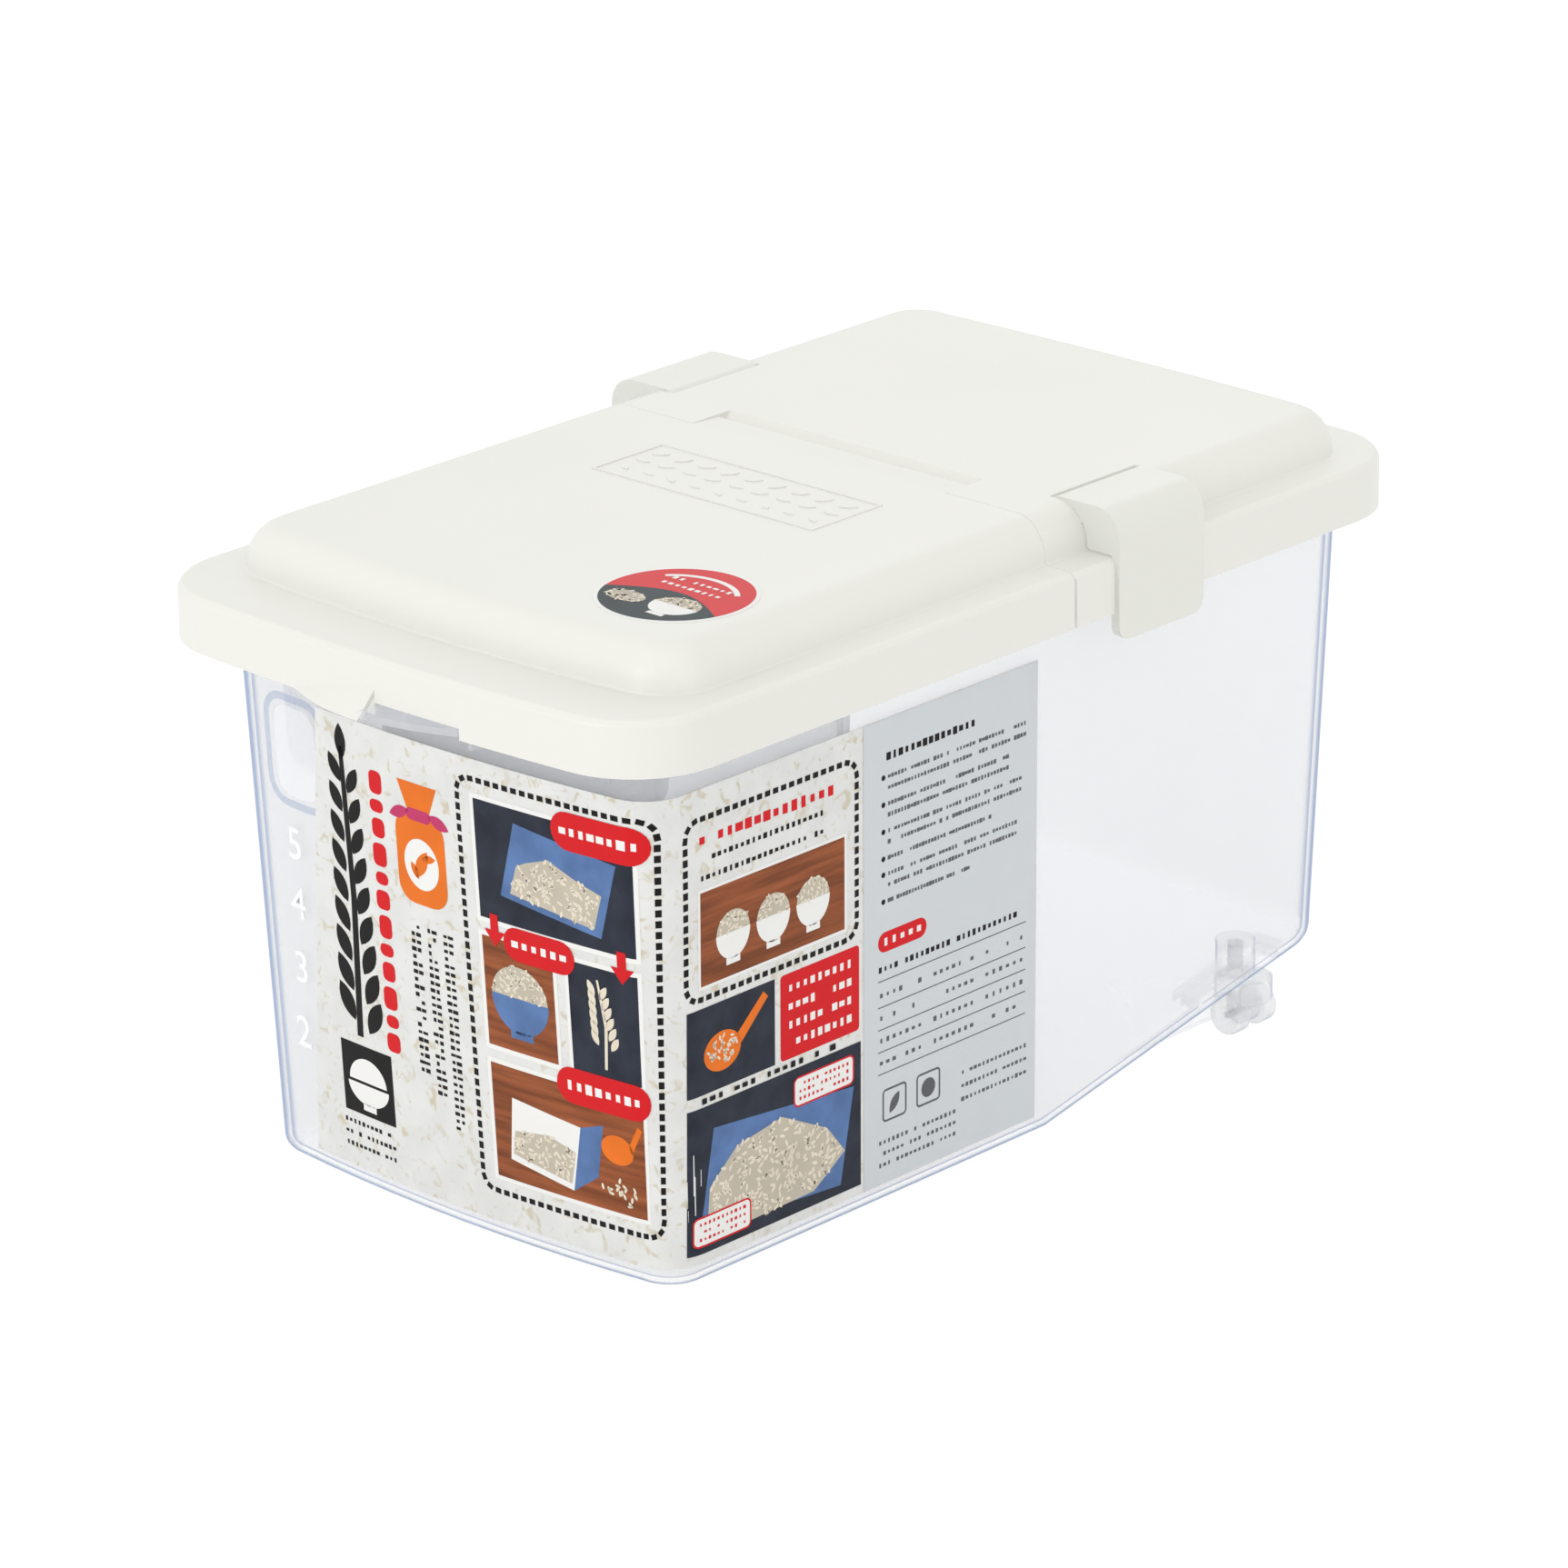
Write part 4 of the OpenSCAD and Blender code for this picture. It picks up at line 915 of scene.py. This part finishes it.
        # a box of rice and a scoop on the table
        draw("box_front", inks.white, 3, [(27, 30), (52, 26), (56, 48), (29, 51)])
        draw("box_side", inks.glass, 3, [(52, 26), (62, 33), (65, 51), (56, 48)])
        fill = [(28.2, 32), (51.4, 28.2), (53.6, 39), (43, 42), (29.4, 40)]
        draw("box_rice_ground", inks.shade, 4, fill)
        grains("box_rice", inks.rice, 5, 13, [fill])
        grains("spilt_rice", inks.rice, 5, 14, [ellipse(70, 30, 8, 4.6)], (2.2, 1.0), 160000.0)
        draw("scoop", inks.orange, 3, ellipse(70, 44, 6.2, 4.8),
             [(74.4, 46.2), (75.6, 43.6), (80.4, 52.4), (78.6, 53.6)])
        # red ribbons at the right of the pictures, with marks on them
        draw("red_ribbons", inks.red, 6, rounded(52, 139, 86, 151.5, 6.2), rounded(30, 97.5, 58, 108.5, 5.4),
             rounded(48, 55.5, 84, 67.5, 5.9))
        marks("ribbon_marks", inks.white, 7, (56.5, 145.2, 81.5, 145.3, 8, 1, 2.5, 3.4, 0.1, 21),
              (34.5, 103, 53.5, 103.1, 6, 1, 2.5, 3.2, 0.1, 22), (53, 61.5, 79, 61.6, 8, 1, 2.5, 3.4, 0.1, 23))
        arrows = []
        for x, z in ((26.5, 105.5), (76.0, 105.0)):
            arrows += [rect(x - 1.6, z, x + 1.6, z + 5.4), [(x - 4.2, z), (x + 4.2, z), (x, z - 5.2)]]
        draw("red_arrows", inks.red, 6, *arrows)

    def side(self, sheet, inks, look):
        draw, marks, grains = sheet.draw, sheet.marks, sheet.grains
        self.dashes("side_dashes", sheet, inks, look, (-139, 93, -64.5, 150.5))
        marks("side_title", inks.red, 1, (-132, 143.5, -76, 143.6, 15, 1, 2.9, 3.8, 0.08, 31))
        marks("side_marks", inks.black, 1, (-132, 131.5, -80, 137.5, 22, 2, 1.5, 1.9, 0.1, 32))
        draw("side_mats", inks.white, 1, rect(-134, 96, -69, 128))
        draw("side_table", inks.wood, 2, rect(-133, 97, -70, 127))
        draw("scoop_ground", inks.night, 2, rect(-139, 62, -101, 90))
        bowls = []
        tops = []
        for x in (-119, -101.5, -84):
            bowls += [ellipse(x, 111, 7.4, 8.6, 180, 360, 20), rect(x - 3, 100.8, x + 3, 103)]
            tops.append(ellipse(x, 111, 7.2, 7.0, 0, 180, 20))
        draw("three_bowls", inks.white, 3, *bowls)
        draw("three_bowls_ground", inks.shade, 4, *tops)
        grains("three_bowls_rice", inks.rice, 5, 33, tops, (1.9, 0.85), 420000.0)
        draw("measuring_scoop", inks.orange, 3, ellipse(-124, 74, 8, 6.4),
             [(-117.6, 77.4), (-115.8, 74), (-104, 85.5), (-106, 87.6)])
        grains("scoop_rice", inks.rice, 5, 34, [ellipse(-124, 74.6, 6.4, 4.6)], (1.9, 0.85), 420000.0)
        draw("red_block", inks.red, 1, rounded(-98.5, 62, -63.5, 90, 1.2, 2))
        marks("red_block_marks", inks.white, 2, (-94, 67, -68, 85, 9, 4, 2.1, 2.9, 0.12, 35))
        # a dark panel with a spread of rice and two callouts
        draw("dark_panel", inks.night, 2, rect(-139, 10.2, -62.8, 58))
        draw("wide_tray", inks.glass, 3, [(-134, 18), (-72, 13), (-66, 44), (-128, 50)])
        spread = [(-131, 20), (-112, 14.5), (-84, 15), (-70, 24), (-78, 34), (-98, 44), (-118, 41), (-130, 31)]
        draw("spread_ground", inks.shade, 4, spread)
        grains("spread_rice", inks.rice, 5, 36, [spread], (2.6, 1.1), 200000.0)
        boxes = [rounded(-93, 45, -66, 55, 2.2), rounded(-137, 12.5, -112, 22.5, 2.2)]
        draw("callouts", inks.white, 6, *boxes)
        draw("callout_lines", inks.red, 7, *(p for b in boxes for p in outline(b, 0.6)))
        marks("callout_marks", inks.red, 8, (-90, 47.6, -69, 52.4, 12, 3, 1.0, 1.2, 0.15, 37),
              (-134, 15, -115, 20, 11, 3, 1.0, 1.2, 0.15, 38))
        marks("panel_title", inks.black, 9, (-132, 59.9, -72, 60.0, 18, 1, 2.2, 2.0, 0.15, 39))

    def plain_panel(self, sheet, inks):
        draw, marks = sheet.draw, sheet.marks
        draw("plain_panel", inks.plain, 2, rect(-61.5, 7.1, 17.9, 159.9))
        marks("heading", inks.black, 3, (-53, 147.5, -12, 147.6, 16, 1, 1.9, 2.6, 0.08, 51))
        lines = []
        top = 141.0
        for i, (x1, rows) in enumerate(((12, 2), (4, 2), (10, 2), (-4, 1), (8, 2), (-14, 1))):
            columns = int((62 + x1) / 1.7)
            lines.append((-50, top - (rows - 1) * 3.6, x1, top + 0.01, columns, rows, 1.25, 1.5, 0.12, 52 + i))
            top -= rows * 3.6 + 1.6
        marks("care_lines", inks.grey, 3, *lines)
        draw("care_dots", inks.black, 3, *(
            ellipse(-52.6, z, 0.9, 0.9, steps=12) for z in (141.0, 132.2, 123.4, 114.6, 109.4, 100.6)))
        draw("size_tag", inks.red, 3, rounded(-55, 84, -33, 90.6, 3.2))
        marks("size_tag_marks", inks.white, 4, (-51.5, 87.3, -36.5, 87.4, 5, 1, 2.2, 2.8, 0.0, 58))
        marks("size_line", inks.black, 3, (-54, 78.5, 8, 78.6, 27, 1, 1.5, 2.3, 0.1, 59))
        draw("table_rules", inks.grey, 3, *(rect(-55, z, 13, z + 0.35) for z in (74.6, 66.0, 58.6, 51.2, 43.8)))
        marks("table_marks", inks.grey, 3, (-53.5, 47.6, -36, 70, 7, 4, 1.4, 1.7, 0.15, 60),
              (-29, 47.6, -12, 70, 7, 4, 1.4, 1.7, 0.2, 61), (-5, 47.6, 11, 70, 6, 4, 1.4, 1.7, 0.2, 62))
        tiles = (rounded(x, 27.5, x + 11, 38.5, 1.6) for x in (-53, -37.5))
        draw("tile_lines", inks.grey, 3, *(p for t in tiles for p in outline(t, 0.7)))
        draw("tile_signs", inks.grey, 3, grain_shape(-47.5, 33, 7.6, 3.4, 55), ellipse(-32, 33, 3.2, 3.2, steps=20))
        marks("foot_marks", inks.grey, 3, (-16, 24, 13, 33, 16, 3, 1.3, 1.5, 0.12, 63),
              (-54, 13.5, -20, 21, 18, 3, 1.3, 1.5, 0.12, 64))


class RICEBIN_OT_sticker(bpy.types.Operator):
    """Finish the round sticker with a bowl and grains on a red and dark ground"""
    bl_idname = "ricebin.sticker"
    bl_label = "Round sticker"

    def execute(self, context):
        look = context.scene.rice_bin_label
        white = print_ink("Sticker film", srgb(238, 238, 236), 0.28, 0.1, gloss=0.2)
        moulding("lid_sticker", "sticker_disc", "front_lid", white)
        low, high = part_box("lid_sticker")
        centre = (low + high) / 2

        def disc(x, y, lift):
            return Vector((centre.x + x, centre.y + y, high.z + lift))

        red = print_ink("Sticker red", look.red_ink, 0.28, 0.2, gloss=0.2)
        dark = print_ink("Sticker dark", srgb(30, 52, 56), 0.28, 0.6, srgb(16, 22, 26), gloss=0.2)
        rice = print_ink("Sticker rice", look.rice_colour, 0.35, 0.4, gloss=0.2)
        shade = print_ink("Sticker rice shade", scaled(look.rice_colour, 0.6), 0.35, 0.4, gloss=0.2)
        rim = (high.x - low.x) / 2 / MM - STICKER_RIM
        sheet = Sheet(disc, "front_lid", "sticker_film", 0.05)
        sheet.draw("sticker_red", red, 1, ellipse(0, 0, rim, rim, -18, 198, 48))
        dip = math.radians(18)
        swell = [(rim * math.cos(dip) * (1 - i / 10), 9.0 * math.sin(math.pi * i / 20) - rim * math.sin(dip))
                 for i in range(1, 20)]
        sheet.draw("sticker_dark", dark, 2, ellipse(0, 0, rim, rim, 198, 342, 40) + swell)
        sheet.draw("sticker_arc", white, 2,
                   ellipse(0, 2, 19, 15.6, 35, 145, 24) + ellipse(0, 2, 17.2, 13.8, 35, 145, 24)[::-1])
        sheet.draw("sticker_bowl", white, 3,
                   ellipse(7, -7.5, 8.6, 8.4, 180, 360, 24), rect(3.8, -17.6, 10.2, -15.8))
        heaps = [ellipse(7, -7.5, 8.4, 6.6, 0, 180, 24), ellipse(-11, -10.5, 7.2, 4.2)]
        sheet.draw("sticker_heap", shade, 3, *heaps)
        sheet.grains("sticker_grains", rice, 4, 71, heaps, (2.1, 0.9), 420000.0)
        sheet.marks("sticker_marks", white, 3, (-11, 6, 11, 11, 9, 2, 1.7, 2.2, 0.1, 72))
        return {"FINISHED"}


class RICEBIN_OT_stage(bpy.types.Operator):
    """Set the floor, the lights and the camera"""
    bl_idname = "ricebin.stage"
    bl_label = "Stage"

    # one for rays of the camera, for reflections and through clear walls
    SEEN = {
        "path": part("ShaderNodeLightPath"),
        "first": maths("MAXIMUM"),
        "second": maths("MAXIMUM"),
    }
    SEEN_LINKS = """
        path.Is Camera Ray > first.0, path.Is Glossy Ray > first.1
        first.0 > second.0, path.Is Transmission Ray > second.1"""

    def execute(self, context):
        scene = context.scene
        stage = scene.rice_bin_stage
        scene.view_settings.view_transform = "Standard"
        self.floor()
        self.world(scene, stage)
        self.lamp("Key softbox", (-0.3, -3.0, 0.95), 1.9, stage.key_light)
        self.lamp("Side softbox", (2.8, -0.3, 0.8), 1.5, stage.side_light)
        self.lamp("Rear softbox", (-1.6, 2.2, 1.8), 1.6, stage.rim_light)
        self.camera(scene, stage)
        return {"FINISHED"}

    def floor(self):
        mesh = bpy.data.meshes.new("studio_floor")
        bm = bmesh.new()
        bmesh.ops.create_circle(bm, cap_ends=True, segments=96, radius=FLOOR_RADIUS)
        bm.to_mesh(mesh)
        bm.free()
        obj = link(bpy.data.objects.new("studio_floor", mesh))
        mesh.materials.append(material_with("Studio floor", {"Roughness": 0.9, "Specular IOR Level": 0.1}, {
            **self.SEEN,
            "grain": noise(6),
            "tone": colour_mix({"A": (0.87, 0.87, 0.87, 1), "B": (0.89, 0.89, 0.89, 1)}),
            "white": part("ShaderNodeEmission", {"Strength": 1.06}),
            "share": maths("MULTIPLY", {1: 0.86}),
            "mix": part("ShaderNodeMixShader"),
        }, self.SEEN_LINKS + """
            grain.Fac > tone.Factor, tone.Result > shader.Base Color, second.0 > share.0, share.0 > mix.Fac
            shader.BSDF > mix.1, white.Emission > mix.2, mix.Shader > out.Surface"""))

    def world(self, scene, stage):
        scene.world = bpy.data.worlds.new("Studio")
        scene.world.use_nodes = True
        tree = scene.world.node_tree
        tree.nodes.clear()
        fill_tree(tree, {}, {
            **self.SEEN,
            "light": part("ShaderNodeBackground", {
                "Color": (1.0, 0.995, 0.985, 1), "Strength": stage.world_light}),
            "white": part("ShaderNodeBackground", {"Color": (1, 1, 1, 1), "Strength": 1.0}),
            "mix": part("ShaderNodeMixShader"),
            "out": part("ShaderNodeOutputWorld"),
        }, self.SEEN_LINKS + """
            second.0 > mix.Fac, light.Background > mix.1, white.Background > mix.2, mix.Shader > out.Surface""")

    def lamp(self, name, at, size, watts):
        data = bpy.data.lights.new(name, "AREA")
        data.shape = "DISK"
        data.size = size
        data.energy = watts
        obj = link(bpy.data.objects.new(name, data))
        turn = (AIM - Vector(at)).to_track_quat("-Z", "Y").to_matrix().to_4x4()
        obj.matrix_world = Matrix.Translation(at) @ turn

    def camera(self, scene, stage):
        a, e, r = stage.azimuth, stage.elevation, stage.roll
        back = Vector((math.sin(a) * math.cos(e), -math.cos(a) * math.cos(e), math.sin(e)))
        level = Vector((math.cos(a), math.sin(a), 0))
        above = back.cross(level)
        right, up = math.cos(r) * level + math.sin(r) * above, -math.sin(r) * level + math.cos(r) * above
        target = Vector((0, 0, stage.target_height)) + level * LOOK_SHIFT[0] + above * LOOK_SHIFT[1]
        data = bpy.data.cameras.new("Studio camera")
        data.sensor_width = 36
        data.lens = stage.lens
        data.clip_end = 60
        obj = link(bpy.data.objects.new("Studio camera", data))
        turn = Matrix((right, up, back)).transposed().to_4x4()
        obj.matrix_world = Matrix.Translation(target + back * stage.distance) @ turn
        scene.camera = obj


GROUPS = {"rice_bin_plastic": RiceBinPlastic, "rice_bin_label": RiceBinLabel, "rice_bin_stage": RiceBinStage}
PIECES = (RICEBIN_OT_bin, RICEBIN_OT_lids, RICEBIN_OT_clips, RICEBIN_OT_pocket, RICEBIN_OT_casters,
          RICEBIN_OT_label, RICEBIN_OT_sticker, RICEBIN_OT_stage)


class RICEBIN_PT_panel(bpy.types.Panel):
    """Lists the pieces, their sizes and their colours"""
    bl_label = "Rice bin"
    bl_idname = "RICEBIN_PT_panel"
    bl_space_type = "VIEW_3D"
    bl_region_type = "UI"
    bl_category = "Rice bin"

    def draw(self, context):
        for name, group in GROUPS.items():
            box = self.layout.box()
            box.label(text=name.removeprefix("rice_bin_").capitalize())
            for field in group.__annotations__:
                box.prop(getattr(context.scene, name), field)
        for piece in PIECES:
            self.layout.operator(piece.bl_idname)


CLASSES = (*GROUPS.values(), *PIECES, RICEBIN_PT_panel)


def register():
    for item in CLASSES:
        bpy.utils.register_class(item)
    for name, group in GROUPS.items():
        setattr(bpy.types.Scene, name, bpy.props.PointerProperty(type=group))


def unregister():
    for name in reversed(GROUPS):
        delattr(bpy.types.Scene, name)
    for item in reversed(CLASSES):
        bpy.utils.unregister_class(item)


def main():
    register()
    bpy.ops.ricebin.bin()
    bpy.ops.ricebin.lids()
    bpy.ops.ricebin.clips()
    bpy.ops.ricebin.pocket()
    bpy.ops.ricebin.casters()
    bpy.ops.ricebin.label()
    bpy.ops.ricebin.sticker()
    bpy.ops.ricebin.stage()


if __name__ == "__main__":
    main()
